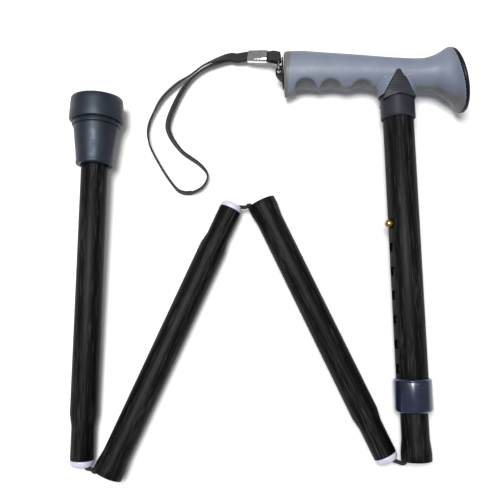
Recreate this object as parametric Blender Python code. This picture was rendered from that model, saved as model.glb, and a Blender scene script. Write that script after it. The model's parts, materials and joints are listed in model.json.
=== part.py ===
"""Folding walking cane with a T grip, a height button, a locking collar and a wrist strap.

It lies on its side on a surface, partly folded in a W: the handle and its tube on the right, then
three tube sections that turn at the elastic cord between them. Metres, +Z up.

Every section is modelled upright in its own frame: +Z runs up the cane, away from the ground tip,
and -Y is the side that faces up when the cane lies down. An empty lays each section in its place,
and each empty sits on the axis that its section turns about.
"""

import math

import bmesh
import bpy
from mathutils import Matrix, Vector

# Fits and round shapes
GAP = 0.0003
SIDES = 32
SMALL_SIDES = 24
TINY_SIDES = 16
UP = Vector((0, 0, 1))

# Tubes: 7/8 in outer tube, 3/4 in sections, with swaged ends
OUTER_OD = 0.0222
OUTER_ID = 0.0198
TUBE_OD = 0.01905
TUBE_ID = 0.01665
WALL = (TUBE_OD - TUBE_ID) / 2
FLARE_OD = 0.02115
FLARE_LENGTH = 0.0147
FLARE_LIP = 0.0054
SPIGOT_OD = 0.0162
SPIGOT_LENGTH = 0.0225
SHOULDER_LENGTH = 0.0085
NOSE_LENGTH = 0.0048
NOSE_RIM = 0.0014
NOSE_OD = 0.0158
NOSE_STEM = 0.0130
NOSE_STEM_LENGTH = 0.012
CORD_OD = 0.0040
CORD_HOLE = 0.0052
# The cord runs aside of the axis at the mouths and beside the button's spring
CORD_ASIDE = 0.0070
CORD_HIDDEN = 0.0040
CORD_IN_BORE = 0.0065
CORD_LANE = 0.0060
CORD_STRAIGHT = 0.0012
ANCHOR_DISC = 0.0011
STOP_R = 0.0034
STOP_HEIGHT = 0.0050

# Handle, measured from the crossing of the grip's and the tube's axes
MOUTH_1 = -0.27615
TUBE_TOP = -0.0172
TUBE_END = -0.2382
SLEEVE_OD = 0.0250
SLEEVE_END = -0.0345
BAR_OD = 0.0140
BAR_HEIGHT = 0.0020
BAR_LEFT = -0.0795
BAR_RIGHT = 0.0410
POST_OD = 0.0090
POST_HOLE_DEPTH = 0.014

# Grip stations: along the grip, centre height, half height, half depth
GRIP_STATIONS = (
    (-0.0800, 0.0019, 0.0160, 0.0146),
    (-0.0700, 0.0036, 0.0148, 0.0144),
    (-0.0500, 0.0036, 0.0138, 0.0141),
    (-0.0280, 0.0031, 0.0125, 0.0135),
    (0.0000, 0.0008, 0.0122, 0.0131),
    (0.0180, -0.0001, 0.0118, 0.0127),
    (0.0260, -0.0002, 0.0132, 0.0137),
    (0.0320, -0.0007, 0.0157, 0.0158),
    (0.0380, -0.0014, 0.0190, 0.0188),
    (0.0436, -0.0026, 0.0226, 0.0222),
)
GRIP_LEFT = -0.0826
GRIP_RIM = 0.0028
GRIP_SQUARENESS = 2.3
GROOVES = (-0.0675, -0.0482, -0.0272)
GROOVE_HALF_WIDTH = 0.0094
GROOVE_FLOOR = -0.0115
GROOVE_HEIGHT = 0.0098
GROOVE_DEPTH = 0.0024
PALM_TILT = math.radians(4.4)
PALM_AT = (0.0443, -0.0039)
PALM_R = 0.0242
SKIRT_TOP_R = 0.0148
SKIRT_END_R = 0.0138
SKIRT_END = -0.0172

# Arrow tongue of the core, front and back
ARROW_TOP = -0.0014
ARROW_SHOULDER = -0.0158
ARROW_HALF_WIDTH = 0.0117
ARROW_RIDGE = 0.0150
ARROW_SLOPE = 0.50

# Left cap with its lug, and the ring in it
CAP_AT = 0.0055
CAP_R = 0.0120
CAP_FACE = -0.0840
LUG_HOLE = (-0.0863, 0.0072)
LUG_HOLE_R = 0.0017
LUG_THICKNESS = 0.0030
RING_WIRE_R = 0.00075
RING_MEAN_R = 0.0070
RING_HEADING = 94.5

# Height adjustment: seven holes, the button in the top one
HOLES = 7
HOLE_PITCH = 0.0170
HOLE_TOP = -0.1120
HOLE_D = 0.0069
BUTTON_AZIMUTH = math.radians(20)
BUTTON_R = 0.00325
BUTTON_DOME_AT = 0.0118
BUTTON_SHAFT_D = 0.0062
BUTTON_FLANGE_D = 0.0076
BUTTON_FLANGE_AT = (0.0058, 0.0068)
INNER_TOP = -0.0975

# Collar and the split ring under it
COLLAR_TOP = -0.2210
COLLAR_END = -0.2435
COLLAR_OD = 0.0256
COLLET_SLIT = 0.0016

# Sections: full length from the plug's nose to the mouth, or to the ground face
SECTION_2_LENGTH = 0.2025
SECTION_3_LENGTH = 0.2088
SECTION_4_LENGTH = 0.2623

# Rubber tip, measured up from its ground face
TIP_HEIGHT = 0.0500
TIP_FLOOR = 0.0122
TIP_WASHER = 0.0015

# Layout on the surface, seen from above: headings in degrees from +X towards +Y
ORIGIN_SHIFT = Vector((0.0005, 0.0011, 0))
HANDLE_AT = (0.0926, 0.1333)
HANDLE_HEADING = 90 + 1.315
HANDLE_HEIGHT = 0.0210
MOUTH_1_HEIGHT = 0.0117
HANDLE_ROLL = math.radians(4.1)
LINK_1_HEADING = 183.4
LINK_1 = 0.0192
SECTION_2_HEADING = 90 + 25.5
LINK_2_BENDS = (53.0, 28.0)
LINK_2_HALF = 0.0107
SECTION_3_HEADING = 270 - 24.1
LINK_3_HEADING = 164.6
LINK_3 = 0.0192
SECTION_4_HEADING = 90 - 0.8
MOUTH_HEIGHT = 0.0106
NOSE_HEIGHT = 0.0094
NOSE_4_HEIGHT = 0.0082
TIP_FACE_HEIGHT = 0.0201

# Wrist strap: flat tape, two strands from the clamp to the far end of the loop
STRAP_WIDTH = 0.0070
STRAP_THICKNESS = 0.0012
CLAMP_RIGHT = Vector((-0.0022, 0.1513, 0.0140)) + ORIGIN_SHIFT
CLAMP_LEFT = Vector((-0.0165, 0.1533, 0.0100)) + ORIGIN_SHIFT
CLAMP_OUTER = (0.0094, 0.0056)
CLAMP_INNER = (0.0076, 0.0038)
LOOP_WIDTH = 0.0072
LOOP_THICKNESS = 0.0008
# Route of the strap over the surface: x, y, height of its middle, lean of its width from flat in degrees
STRAND_HALF_PITCH = 0.00085
STRAP_IN_CLAMP = 0.45
STRAP_ROUTE = (
    (-0.0250, 0.1545, 0.0085, 5),
    (-0.0420, 0.1515, 0.0058, 30),
    (-0.0650, 0.1395, 0.0043, 75),
    (-0.0835, 0.1235, 0.0042, 85),
    (-0.0920, 0.1010, 0.0042, 85),
    (-0.0915, 0.0860, 0.0042, 85),
    (-0.0830, 0.0690, 0.0042, 85),
    (-0.0745, 0.0560, 0.0042, 85),
    (-0.0680, 0.0495, 0.0042, 85),
    (-0.0600, 0.0490, 0.0042, 85),
    (-0.0525, 0.0540, 0.0042, 85),
    (-0.0490, 0.0620, 0.0042, 85),
    (-0.0545, 0.0700, 0.0042, 85),
    (-0.0670, 0.0800, 0.0042, 80),
    (-0.0765, 0.0940, 0.0040, 70),
    (-0.0770, 0.1060, 0.0038, 55),
    (-0.0690, 0.1240, 0.0032, 30),
    (-0.0560, 0.1400, 0.0030, 15),
    (-0.0390, 0.1488, 0.0040, 5),
    (-0.0250, 0.1520, 0.0062, 0),
)


def clear_scene():
    for old in list(bpy.data.objects):
        bpy.data.objects.remove(old, do_unlink=True)


def material(name, colour, roughness, metallic=0.0):
    made = bpy.data.materials.new(name)
    made.use_nodes = True
    shader = made.node_tree.nodes["Principled BSDF"]
    shader.inputs["Base Color"].default_value = (*colour, 1)
    shader.inputs["Roughness"].default_value = roughness
    shader.inputs["Metallic"].default_value = metallic
    made.diffuse_color = (*colour, 1)
    return made


def axes_matrix(origin, x_axis, z_axis):
    """A frame with its origin there, +Z along z_axis and +X as near x_axis as it can be."""
    z = Vector(z_axis).normalized()
    x = (Vector(x_axis) - z * z.dot(Vector(x_axis))).normalized()
    y = z.cross(x)
    turn = Matrix((x, y, z)).transposed().to_4x4()
    return Matrix.Translation(Vector(origin)) @ turn


class Frame:
    """An empty at a joint or a section, which its pieces are parented to."""

    def __init__(self, name, world, parent=None):
        self.world = world
        self.empty = bpy.data.objects.new(name, None)
        self.empty.empty_display_size = 0.02
        bpy.context.collection.objects.link(self.empty)
        if parent:
            self.empty.parent = parent.empty
            self.empty.matrix_basis = parent.world.inverted() @ world
        else:
            self.empty.matrix_basis = world

    def point(self, x, y, z):
        return self.world @ Vector((x, y, z))


def turned(profile, closed=True, sides=SIDES):
    """A turned shape: the (radius, height) outline spun once round Z."""
    bm = bmesh.new()
    verts = [bm.verts.new((radius, 0, height)) for radius, height in profile]
    edges = [bm.edges.new(pair) for pair in zip(verts, verts[1:])]
    if closed:
        edges.append(bm.edges.new((verts[-1], verts[0])))
    bmesh.ops.spin(
        bm, geom=verts + edges, cent=(0, 0, 0), axis=(0, 0, 1), angle=math.tau, steps=sides
    )
    bmesh.ops.remove_doubles(bm, verts=bm.verts, dist=1e-6)
    bmesh.ops.recalc_face_normals(bm, faces=bm.faces)
    return bm


def prism(outline, low, high):
    """A flat outline of (x, z) points, extruded from low to high along Y."""
    bm = bmesh.new()
    face = bm.faces.new([bm.verts.new((x, low, z)) for x, z in outline])
    grown = bmesh.ops.extrude_face_region(bm, geom=[face])["geom"]
    moved = [item for item in grown if isinstance(item, bmesh.types.BMVert)]
    bmesh.ops.translate(bm, verts=moved, vec=(0, high - low, 0))
    bmesh.ops.recalc_face_normals(bm, faces=bm.faces)
    return bm


def skinned(rings):
    """A closed body from rings of points, each joined to the next, with both ends filled."""
    bm = bmesh.new()
    loops = [[bm.verts.new(point) for point in ring] for ring in rings]
    count = len(loops[0])
    for first, second in zip(loops, loops[1:]):
        for i in range(count):
            j = (i + 1) % count
            bm.faces.new((first[i], first[j], second[j], second[i]))
    bm.faces.new(loops[0])
    bm.faces.new(loops[-1])
    bmesh.ops.recalc_face_normals(bm, faces=bm.faces)
    return bm


def placed(bm, matrix):
    bmesh.ops.transform(bm, matrix=matrix, verts=bm.verts)
    return bm


def along_x(x, z=0.0):
    """Lays a shape that was modelled up Z along +X, with its origin at (x, 0, z)."""
    return Matrix.Translation((x, 0, z)) @ Matrix.Rotation(math.pi / 2, 4, "Y")


def piece(name, bm, frame, finish, crease=35):
    mesh = bpy.data.meshes.new(name)
    bm.to_mesh(mesh)
    bm.free()
    mesh.shade_smooth()
    mesh.set_sharp_from_angle(angle=math.radians(crease))
    made = bpy.data.objects.new(name, mesh)
    bpy.context.collection.objects.link(made)
    made.parent = frame.empty
    if finish:
        made.data.materials.append(finish)
    return made


def cutter(name, bm, frame):
    made = piece(name, bm, frame, None)
    made.hide_render = True
    made.display_type = "WIRE"
    return made


def boolean(target, tool, operation, solver="EXACT"):
    step = target.modifiers.new(f"{operation.lower()} {tool.name}", "BOOLEAN")
    step.object = tool
    step.operation = operation
    step.solver = solver


def smooth_value(stations, at, column):
    """Reads one column of the stations at a place between them, along a smooth curve."""
    last = len(stations) - 1
    i = 0
    while i < last - 1 and stations[i + 1][0] < at:
        i += 1
    a = stations[max(i - 1, 0)]
    b = stations[i]
    c = stations[i + 1]
    d = stations[min(i + 2, last)]
    t = (at - b[0]) / (c[0] - b[0])
    width = c[0] - b[0]
    slope_b = (c[column] - a[column]) / (c[0] - a[0]) * width
    slope_c = (d[column] - b[column]) / (d[0] - b[0]) * width
    return (
        (2 * t**3 - 3 * t**2 + 1) * b[column]
        + (t**3 - 2 * t**2 + t) * slope_b
        + (3 * t**2 - 2 * t**3) * c[column]
        + (t**3 - t**2) * slope_c
    )


def smooth_path(route, steps):
    """Points on a smooth curve through the route's points, steps of them for each stretch."""
    points = [Vector(item) for item in route]
    line = []
    for i in range(len(points) - 1):
        a = points[max(i - 1, 0)]
        b = points[i]
        c = points[i + 1]
        d = points[min(i + 2, len(points) - 1)]
        for k in range(steps):
            t = k / steps
            line.append(
                0.5
                * (
                    2 * b
                    + (c - a) * t
                    + (2 * a - 5 * b + 4 * c - d) * t**2
                    + (3 * b - a - 3 * c + d) * t**3
                )
            )
    line.append(points[-1])
    return line


def make_materials():
    return {
        "grip": material("grip rubber", (0.23, 0.26, 0.31), 0.55),
        "core": material("handle plastic", (0.028, 0.032, 0.04), 0.4),
        "tube": material("black anodised tube", (0.012, 0.012, 0.013), 0.35, 0.6),
        "collar": material("collar plastic", (0.02, 0.022, 0.05), 0.22),
        "nylon": material("white nylon", (0.75, 0.75, 0.85), 0.45),
        "brass": material("brass", (0.55, 0.36, 0.13), 0.3, 1.0),
        "steel": material("spring steel", (0.5, 0.5, 0.5), 0.3, 1.0),
        "chrome": material("chrome", (0.7, 0.7, 0.7), 0.12, 1.0),
        "tip": material("tip rubber", (0.06, 0.065, 0.08), 0.6),
        "cord": material("elastic cord", (0.012, 0.012, 0.02), 0.7),
        "strap": material("black tape", (0.012, 0.012, 0.013), 0.8),
    }


def heading_vector(degrees):
    turn = math.radians(degrees)
    return Vector((math.cos(turn), math.sin(turn), 0))


def section_matrix(top, bottom, roll=0.0):
    """A section's frame: origin at its top end, +Z up the section, -Y towards the sky."""
    z = (top - bottom).normalized()
    down = -(UP - z * z.dot(UP)).normalized()
    x = down.cross(z)
    x = x * math.cos(roll) - down * math.sin(roll)
    return axes_matrix(top, x, z)


def lay_out():
    """The places of the sections, mouths and noses over the surface, and the hinges between them."""
    place = {}
    run = heading_vector(HANDLE_HEADING)
    drop = HANDLE_HEIGHT - MOUTH_1_HEIGHT
    plan = math.sqrt(MOUTH_1**2 - drop**2)
    crossing = Vector((*HANDLE_AT, HANDLE_HEIGHT)) + ORIGIN_SHIFT
    place["crossing"] = crossing
    place["mouth_1"] = crossing - run * plan - UP * drop
    place["nose_2"] = step_to(place["mouth_1"], LINK_1_HEADING, LINK_1, NOSE_HEIGHT)
    place["mouth_2"] = step_to(place["nose_2"], SECTION_2_HEADING, SECTION_2_LENGTH, MOUTH_HEIGHT)
    first = SECTION_2_HEADING + LINK_2_BENDS[0]
    middle_height = (MOUTH_HEIGHT + NOSE_HEIGHT) / 2
    place["middle_2"] = step_to(place["mouth_2"], first, LINK_2_HALF, middle_height)
    second = first + LINK_2_BENDS[1]
    place["nose_3"] = step_to(place["middle_2"], second, LINK_2_HALF, NOSE_HEIGHT)
    place["mouth_3"] = step_to(place["nose_3"], SECTION_3_HEADING, SECTION_3_LENGTH, MOUTH_HEIGHT)
    place["nose_4"] = step_to(place["mouth_3"], LINK_3_HEADING, LINK_3, NOSE_4_HEIGHT)
    place["ground_face"] = step_to(
        place["nose_4"], SECTION_4_HEADING, SECTION_4_LENGTH, TIP_FACE_HEIGHT
    )
    return place


def step_to(start, heading, length, height):
    """The end of a straight stretch of that true length, whose end lies at the given height."""
    rise = height - start.z
    plan = math.sqrt(length**2 - rise**2)
    return start + heading_vector(heading) * plan + UP * rise


def hinge_matrix(at, before, after):
    """A hinge whose +Z turns direction before into direction after by the right-hand rule."""
    return axes_matrix(at, before, before.cross(after))


def grip_ring(x, squeeze, around):
    """One cross-section of the grip, with its share of the finger grooves."""
    centre = smooth_value(GRIP_STATIONS, x, 1)
    half_height = smooth_value(GRIP_STATIONS, x, 2) * squeeze
    half_depth = smooth_value(GRIP_STATIONS, x, 3) * squeeze
    lean = max(0.0, (x - GRIP_STATIONS[5][0]) / (GRIP_STATIONS[-1][0] - GRIP_STATIONS[5][0]))
    ring = []
    for i in range(around):
        turn = math.tau * i / around
        c = math.cos(turn)
        s = math.sin(turn)
        y = half_depth * math.copysign(abs(c) ** (2 / GRIP_SQUARENESS), c)
        z = half_height * math.copysign(abs(s) ** (2 / GRIP_SQUARENESS), s)
        scoop = 0.0
        for groove in GROOVES:
            across = (x - groove) / GROOVE_HALF_WIDTH
            above = max(0.0, z - GROOVE_FLOOR) / GROOVE_HEIGHT
            inside = 1 - across**2 - above**2
            if inside > 0:
                scoop = max(scoop, GROOVE_DEPTH * math.sqrt(inside))
        reach = math.hypot(y, z)
        keep = (reach - scoop) / reach
        ring.append((x - z * math.sin(PALM_TILT) * lean**2, y * keep, centre + z * keep))
    return ring


def make_grip(handle, finish):
    """Soft sleeve: a loft along the bar, with finger grooves and a skirt round the stem."""
    around = 36
    rim_steps = ((0.0, 0.84), (0.0007, 0.93), (0.0016, 0.975), (GRIP_RIM, 1.0))
    places = [(GRIP_LEFT + into, squeeze) for into, squeeze in rim_steps]
    grooved = 34
    start = GRIP_LEFT + GRIP_RIM
    end_of_grooves = -0.0165
    for k in range(1, grooved + 1):
        places.append((start + (end_of_grooves - start) * k / grooved, 1.0))
    places += [(x, 1.0) for x in (-0.008, 0.002, 0.010, 0.018, 0.024, 0.029, 0.033, 0.037, 0.0405, 0.0436)]
    rings = [grip_ring(x, squeeze, around) for x, squeeze in places]
    grip = piece("grip", skinned(rings), handle, finish, crease=50)

    skirt = cutter(
        "skirt_tool",
        turned(((0, SKIRT_END), (SKIRT_END_R, SKIRT_END), (SKIRT_TOP_R, -0.007), (0, -0.007)), False),
        handle,
    )
    boolean(grip, skirt, "UNION", "MANIFOLD")
    window = cutter("window_tool", prism(arrow_outline(GAP), -0.03, 0.03), handle)
    boolean(grip, window, "DIFFERENCE", "MANIFOLD")
    sleeve_room = cutter("sleeve_room_tool", rod(SLEEVE_OD / 2 + GAP, -0.03, -0.0080), handle)
    boolean(grip, sleeve_room, "DIFFERENCE", "MANIFOLD")
    bar_room = cutter(
        "bar_room_tool",
        placed(rod(BAR_OD / 2 + GAP, -0.1, 0.06), along_x(0, BAR_HEIGHT)),
        handle,
    )
    boolean(grip, bar_room, "DIFFERENCE", "MANIFOLD")
    return grip


def rod(radius, low, high, sides=SIDES):
    return turned(((0, low), (radius, low), (radius, high), (0, high)), False, sides)


def arrow_outline(grow):
    """Front view of the arrow: two shoulders, and a point at the top."""
    half = ARROW_HALF_WIDTH + grow
    return (
        (-half, -0.0190 - grow * 8),
        (half, -0.0190 - grow * 8),
        (half, ARROW_SHOULDER + grow),
        (0, ARROW_TOP + grow * 2),
        (-half, ARROW_SHOULDER + grow),
    )


def make_core(handle, finish):
    """Hard T inside the grip: bar, hub with a ridged arrow on both sides, and the tube's sleeve."""
    ridge = ARROW_RIDGE
    edge = ARROW_RIDGE - ARROW_SLOPE * 0.016
    roof = [(-0.016, -edge), (0, -ridge), (0.016, -edge), (0.016, edge), (0, ridge), (-0.016, edge)]
    core = piece(
        "handle_core",
        skinned([[(x, y, z) for x, y in roof] for z in (-0.0185, 0.004)]),
        handle,
        finish,
        crease=25,
    )
    arrow = cutter("arrow_tool", prism(arrow_outline(0), -0.03, 0.03), handle)
    boolean(core, arrow, "INTERSECT", "MANIFOLD")
    bore = OUTER_OD / 2 + GAP
    sleeve_profile = (
        (0, SLEEVE_END + 0.018),
        (0.0119, SLEEVE_END + 0.018),
        (SLEEVE_OD / 2, SLEEVE_END + 0.0165),
        (SLEEVE_OD / 2, SLEEVE_END + 0.0006),
        (SLEEVE_OD / 2 - 0.0006, SLEEVE_END),
        (0, SLEEVE_END),
    )
    sleeve = cutter("sleeve_tool", turned(sleeve_profile, False), handle)
    boolean(core, sleeve, "UNION", "MANIFOLD")
    bar = cutter(
        "bar_tool", placed(rod(BAR_OD / 2, BAR_LEFT, BAR_RIGHT), along_x(0, BAR_HEIGHT)), handle
    )
    boolean(core, bar, "UNION", "MANIFOLD")
    tube_bore = cutter("tube_bore_tool", rod(bore, SLEEVE_END - 0.01, TUBE_TOP + GAP), handle)
    boolean(core, tube_bore, "DIFFERENCE", "MANIFOLD")
    post_hole = POST_OD / 2 + GAP
    for name, low, high in (
        ("left_post_hole_tool", BAR_LEFT - 0.01, BAR_LEFT + POST_HOLE_DEPTH),
        ("right_post_hole_tool", BAR_RIGHT - POST_HOLE_DEPTH, BAR_RIGHT + 0.01),
    ):
        hole = cutter(name, placed(rod(post_hole, low, high), along_x(0, BAR_HEIGHT)), handle)
        boolean(core, hole, "DIFFERENCE", "MANIFOLD")
    return core


def make_palm_cap(handle, finish):
    """Domed disc on the flared end, with a post in the bar."""
    tilt = Matrix.Rotation(-PALM_TILT, 4, "Y")
    at = Matrix.Translation((PALM_AT[0], 0, PALM_AT[1]))
    profile = (
        (0, 0),
        (PALM_R - 0.0010, 0),
        (PALM_R, 0.0009),
        (PALM_R, 0.0026),
        (PALM_R - 0.0007, 0.0036),
        (PALM_R - 0.0042, 0.0055),
        (PALM_R - 0.0100, 0.0076),
        (PALM_R - 0.0170, 0.0091),
        (0, 0.0096),
    )
    disc = placed(turned(profile, False), at @ tilt @ along_x(0))
    cap = piece("palm_cap", disc, handle, finish)
    post_end = BAR_RIGHT - POST_HOLE_DEPTH + 0.001
    post = cutter(
        "palm_post_tool",
        placed(rod(POST_OD / 2, post_end, PALM_AT[0] + 0.002, SMALL_SIDES), along_x(0, BAR_HEIGHT)),
        handle,
    )
    boolean(cap, post, "UNION")
    return cap


def make_strap_cap(handle, finish):
    """Round plate on the grip's left end, with a lug for the ring and a post in the bar."""
    plate_back = GRIP_LEFT - GAP
    profile = (
        (0, CAP_FACE),
        (CAP_R - 0.0004, CAP_FACE),
        (CAP_R, CAP_FACE + 0.0004),
        (CAP_R, plate_back),
        (0, plate_back),
    )
    cap = piece("strap_cap", placed(turned(profile, False), along_x(0, CAP_AT)), handle, finish)
    lug_outline = (
        (CAP_FACE + 0.0006, 0.0115),
        (-0.0860, 0.0112),
        (-0.0878, 0.0098),
        (-0.0890, 0.0072),
        (-0.0890, 0.0045),
        (-0.0880, 0.0022),
        (CAP_FACE + 0.0006, -0.0023),
    )
    lug = cutter("lug_tool", prism(lug_outline, -LUG_THICKNESS / 2, LUG_THICKNESS / 2), handle)
    boolean(cap, lug, "UNION")
    post = cutter(
        "strap_post_tool",
        placed(
            rod(POST_OD / 2, CAP_FACE + 0.0006, BAR_LEFT + POST_HOLE_DEPTH - 0.001, SMALL_SIDES),
            along_x(0, BAR_HEIGHT),
        ),
        handle,
    )
    boolean(cap, post, "UNION")
    quarter = Matrix.Rotation(math.pi / 2, 4, "X")
    through = Matrix.Translation((LUG_HOLE[0], 0, LUG_HOLE[1])) @ quarter
    hole = cutter("lug_hole_tool", placed(rod(LUG_HOLE_R, -0.01, 0.01, SMALL_SIDES), through), handle)
    boolean(cap, hole, "DIFFERENCE")
    return cap


def button_direction():
    """From the tube's axis to the button: between the left side and the front."""
    return Vector((-math.cos(BUTTON_AZIMUTH), -math.sin(BUTTON_AZIMUTH), 0))


def hole_matrix(height):
    """A frame at that height on the tube's axis, with +Z along the button."""
    return axes_matrix((0, 0, height), (0, 0, 1), button_direction())


def make_handle_tube(handle, finish):
    """Outer tube with its row of height holes."""
    profile = (
        (OUTER_ID / 2, TUBE_END),
        (OUTER_OD / 2 - 0.0003, TUBE_END),
        (OUTER_OD / 2, TUBE_END + 0.0003),
        (OUTER_OD / 2, TUBE_TOP),
        (OUTER_ID / 2, TUBE_TOP),
    )
    tube = piece("handle_tube", turned(profile), handle, finish)
    for k in range(HOLES):
        height = HOLE_TOP - HOLE_PITCH * k
        drill = cutter(
            f"height_hole_tool_{k + 1}",
            placed(rod(HOLE_D / 2, 0.004, 0.016, 16), hole_matrix(height)),
            handle,
        )
        boolean(tube, drill, "DIFFERENCE")
    return tube


def make_collar(collar, finish):
    """Screwed collar: straight bore on the tube, a cone on the split ring, and a lip below."""
    straight = OUTER_OD / 2 + GAP
    lip = TUBE_OD / 2 + GAP
    profile = (
        (straight, COLLAR_TOP),
        (COLLAR_OD / 2 - 0.0007, COLLAR_TOP),
        (COLLAR_OD / 2, COLLAR_TOP - 0.0008),
        (COLLAR_OD / 2, COLLAR_END + 0.0016),
        (COLLAR_OD / 2 - 0.0012, COLLAR_END),
        (lip, COLLAR_END),
        (lip, COLLAR_END + 0.0010),
        (lip + 0.0005, COLLAR_END + 0.0010),
        (straight, TUBE_END - 0.0006),
    )
    return piece("locking_collar", turned(profile), collar, finish)


def make_collet(handle, finish):
    """Split ring that the collar's cone squeezes onto the inner tube."""
    inside = TUBE_OD / 2 + GAP / 2
    top = TUBE_END - GAP
    bottom = COLLAR_END + 0.0010 + GAP
    profile = (
        (inside, top),
        (OUTER_OD / 2 - 0.0003, top),
        (OUTER_OD / 2 - 0.0003, top - 0.0006),
        (inside + 0.0003, bottom),
        (inside, bottom),
    )
    ring = piece("collet_ring", turned(profile, sides=SMALL_SIDES), handle, finish)
    half = COLLET_SLIT / 2
    slit_outline = ((-half, bottom - 0.002), (half, bottom - 0.002), (half, top + 0.002), (-half, top + 0.002))
    slit = cutter("collet_slit_tool", prism(slit_outline, 0.004, 0.016), handle)
    boolean(ring, slit, "DIFFERENCE")
    return ring


def flared_tube_profile(top, mouth, top_radius_out, top_radius_in, spigot=None):
    """Outline of a section tube: plain or swaged top, straight body, flared mouth."""
    outer = [(FLARE_OD / 2, mouth), (FLARE_OD / 2, mouth + FLARE_LIP), (TUBE_OD / 2, mouth + FLARE_LENGTH)]
    inner = [(TUBE_ID / 2, mouth + FLARE_LENGTH)]
    inner += [(FLARE_OD / 2 - WALL, mouth + FLARE_LIP), (FLARE_OD / 2 - WALL, mouth)]
    if spigot:
        shoulder = spigot - SHOULDER_LENGTH
        outer += [(TUBE_OD / 2, shoulder), (SPIGOT_OD / 2, spigot), (SPIGOT_OD / 2, top)]
        inner = [(SPIGOT_OD / 2 - WALL, top), (SPIGOT_OD / 2 - WALL, spigot), (TUBE_ID / 2, shoulder)] + inner
    else:
        outer += [(top_radius_out, top)]
        inner = [(top_radius_in, top)] + inner
    return outer + inner


def make_inner_tube(slider, finish):
    """Sliding tube with the button's hole near its top and a flared mouth."""
    profile = flared_tube_profile(INNER_TOP, MOUTH_1, TUBE_OD / 2, TUBE_ID / 2)
    tube = piece("inner_tube", turned(profile), slider, finish)
    drill = cutter(
        "button_hole_tool", placed(rod(HOLE_D / 2, 0.004, 0.016, 16), hole_matrix(HOLE_TOP)), slider
    )
    boolean(tube, drill, "DIFFERENCE")
    return tube


def lane_point(height):
    """A point on the cord's lane, on the back of the tube, a quarter turn from the button."""
    aside = Vector((0, 0, 1)).cross(button_direction())
    return aside * CORD_LANE + Vector((0, 0, height))


def make_inner_tube_plug(slider, finish):
    """Guide plug in the top of the sliding tube, with a hole for the cord."""
    seat = INNER_TOP + GAP
    profile = (
        (0, seat + 0.0024),
        (0.0088, seat + 0.0024),
        (0.0095, seat + 0.0018),
        (0.0095, seat),
        (TUBE_ID / 2 - GAP, seat),
        (TUBE_ID / 2 - GAP, seat - 0.0050),
        (0, seat - 0.0050),
    )
    plug = piece("inner_tube_plug", turned(profile, False, SMALL_SIDES), slider, finish)
    at = lane_point(0)
    hole = cutter(
        "plug_hole_tool",
        placed(rod(CORD_OD / 2 + GAP, seat - 0.02, seat + 0.02, 16), Matrix.Translation(at)),
        slider,
    )
    boolean(plug, hole, "DIFFERENCE")
    return plug


def make_button(button, finish):
    """Ball-nosed button: dome, shaft and a flange behind the tube's wall."""
    rings = 6
    dome = []
    for k in range(rings + 1):
        turn = math.pi / 2 * k / rings
        dome.append((BUTTON_R * math.cos(turn), BUTTON_DOME_AT + BUTTON_R * math.sin(turn)))
    dome[-1] = (0, BUTTON_DOME_AT + BUTTON_R)
    low, high = BUTTON_FLANGE_AT
    shaft = BUTTON_SHAFT_D / 2
    profile = [
        (0, low),
        (BUTTON_FLANGE_D / 2, low),
        (BUTTON_FLANGE_D / 2, high - 0.0004),
        (BUTTON_FLANGE_D / 2 - 0.0004, high),
        (shaft, high),
        (shaft, BUTTON_DOME_AT - 0.0002),
    ] + dome
    return piece("snap_button", turned(profile, False, SMALL_SIDES), button, finish)


def ribbon(points, widths, thickness):
    """A flat strip through the points; widths holds, for each, the vector across it."""
    rings = []
    last = len(points) - 1
    for i, point in enumerate(points):
        ahead = points[min(i + 1, last)] - points[max(i - 1, 0)]
        across = widths[i]
        normal = across.cross(ahead).normalized() * (thickness / 2)
        rings.append(
            [
                point + across / 2 + normal,
                point - across / 2 + normal,
                point - across / 2 - normal,
                point + across / 2 - normal,
            ]
        )
    return skinned(rings)


def make_button_spring(slider, finish):
    """Bent strip behind the button: its open ends press on the button and on the far wall."""
    out = button_direction()
    aside = Vector((0, 0, 1)).cross(out)
    thickness = 0.0007
    behind_button = BUTTON_FLANGE_AT[0] - GAP - thickness / 2
    far_wall = -(TUBE_ID / 2 - GAP - 0.0012)
    top = HOLE_TOP + 0.0050
    legs = 0.026
    radius = 0.0022
    route = [
        (behind_button, top),
        (behind_button, HOLE_TOP - 0.0045),
        (behind_button - 0.0022, HOLE_TOP - 0.0140),
        (radius, HOLE_TOP - legs + radius),
        (0.0, HOLE_TOP - legs),
        (-radius, HOLE_TOP - legs + radius),
        (far_wall + 0.0012, HOLE_TOP - 0.0120),
        (far_wall, HOLE_TOP - 0.0040),
        (far_wall + 0.0010, top),
    ]
    points = [out * reach + Vector((0, 0, height)) for reach, height in route]
    strip = ribbon(points, [aside * 0.0066] * len(points), thickness)
    return piece("button_spring", strip, slider, finish)


def cord(name, points, frame, finish, local=True):
    """A round cord through points, given in the frame or, if not local, in the world."""
    inverse = frame.world.inverted()
    data = bpy.data.curves.new(name, "CURVE")
    data.dimensions = "3D"
    data.bevel_depth = CORD_OD / 2
    data.bevel_resolution = 2
    data.use_fill_caps = True
    line = data.splines.new("POLY")
    line.points.add(len(points) - 1)
    for spot, point in zip(line.points, points):
        spot.co = (*(point if local else inverse @ point), 1)
    made = bpy.data.objects.new(name, data)
    bpy.context.collection.objects.link(made)
    made.parent = frame.empty
    data.materials.append(finish)
    return made


def disc_with_hole(name, frame, finish, at, radius, hole, thickness):
    x, y, low = at
    profile = ((hole, low), (radius, low), (radius, low + thickness), (hole, low + thickness))
    shape = placed(turned(profile, sides=SMALL_SIDES), Matrix.Translation((x, y, 0)))
    return piece(name, shape, frame, finish)


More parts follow.
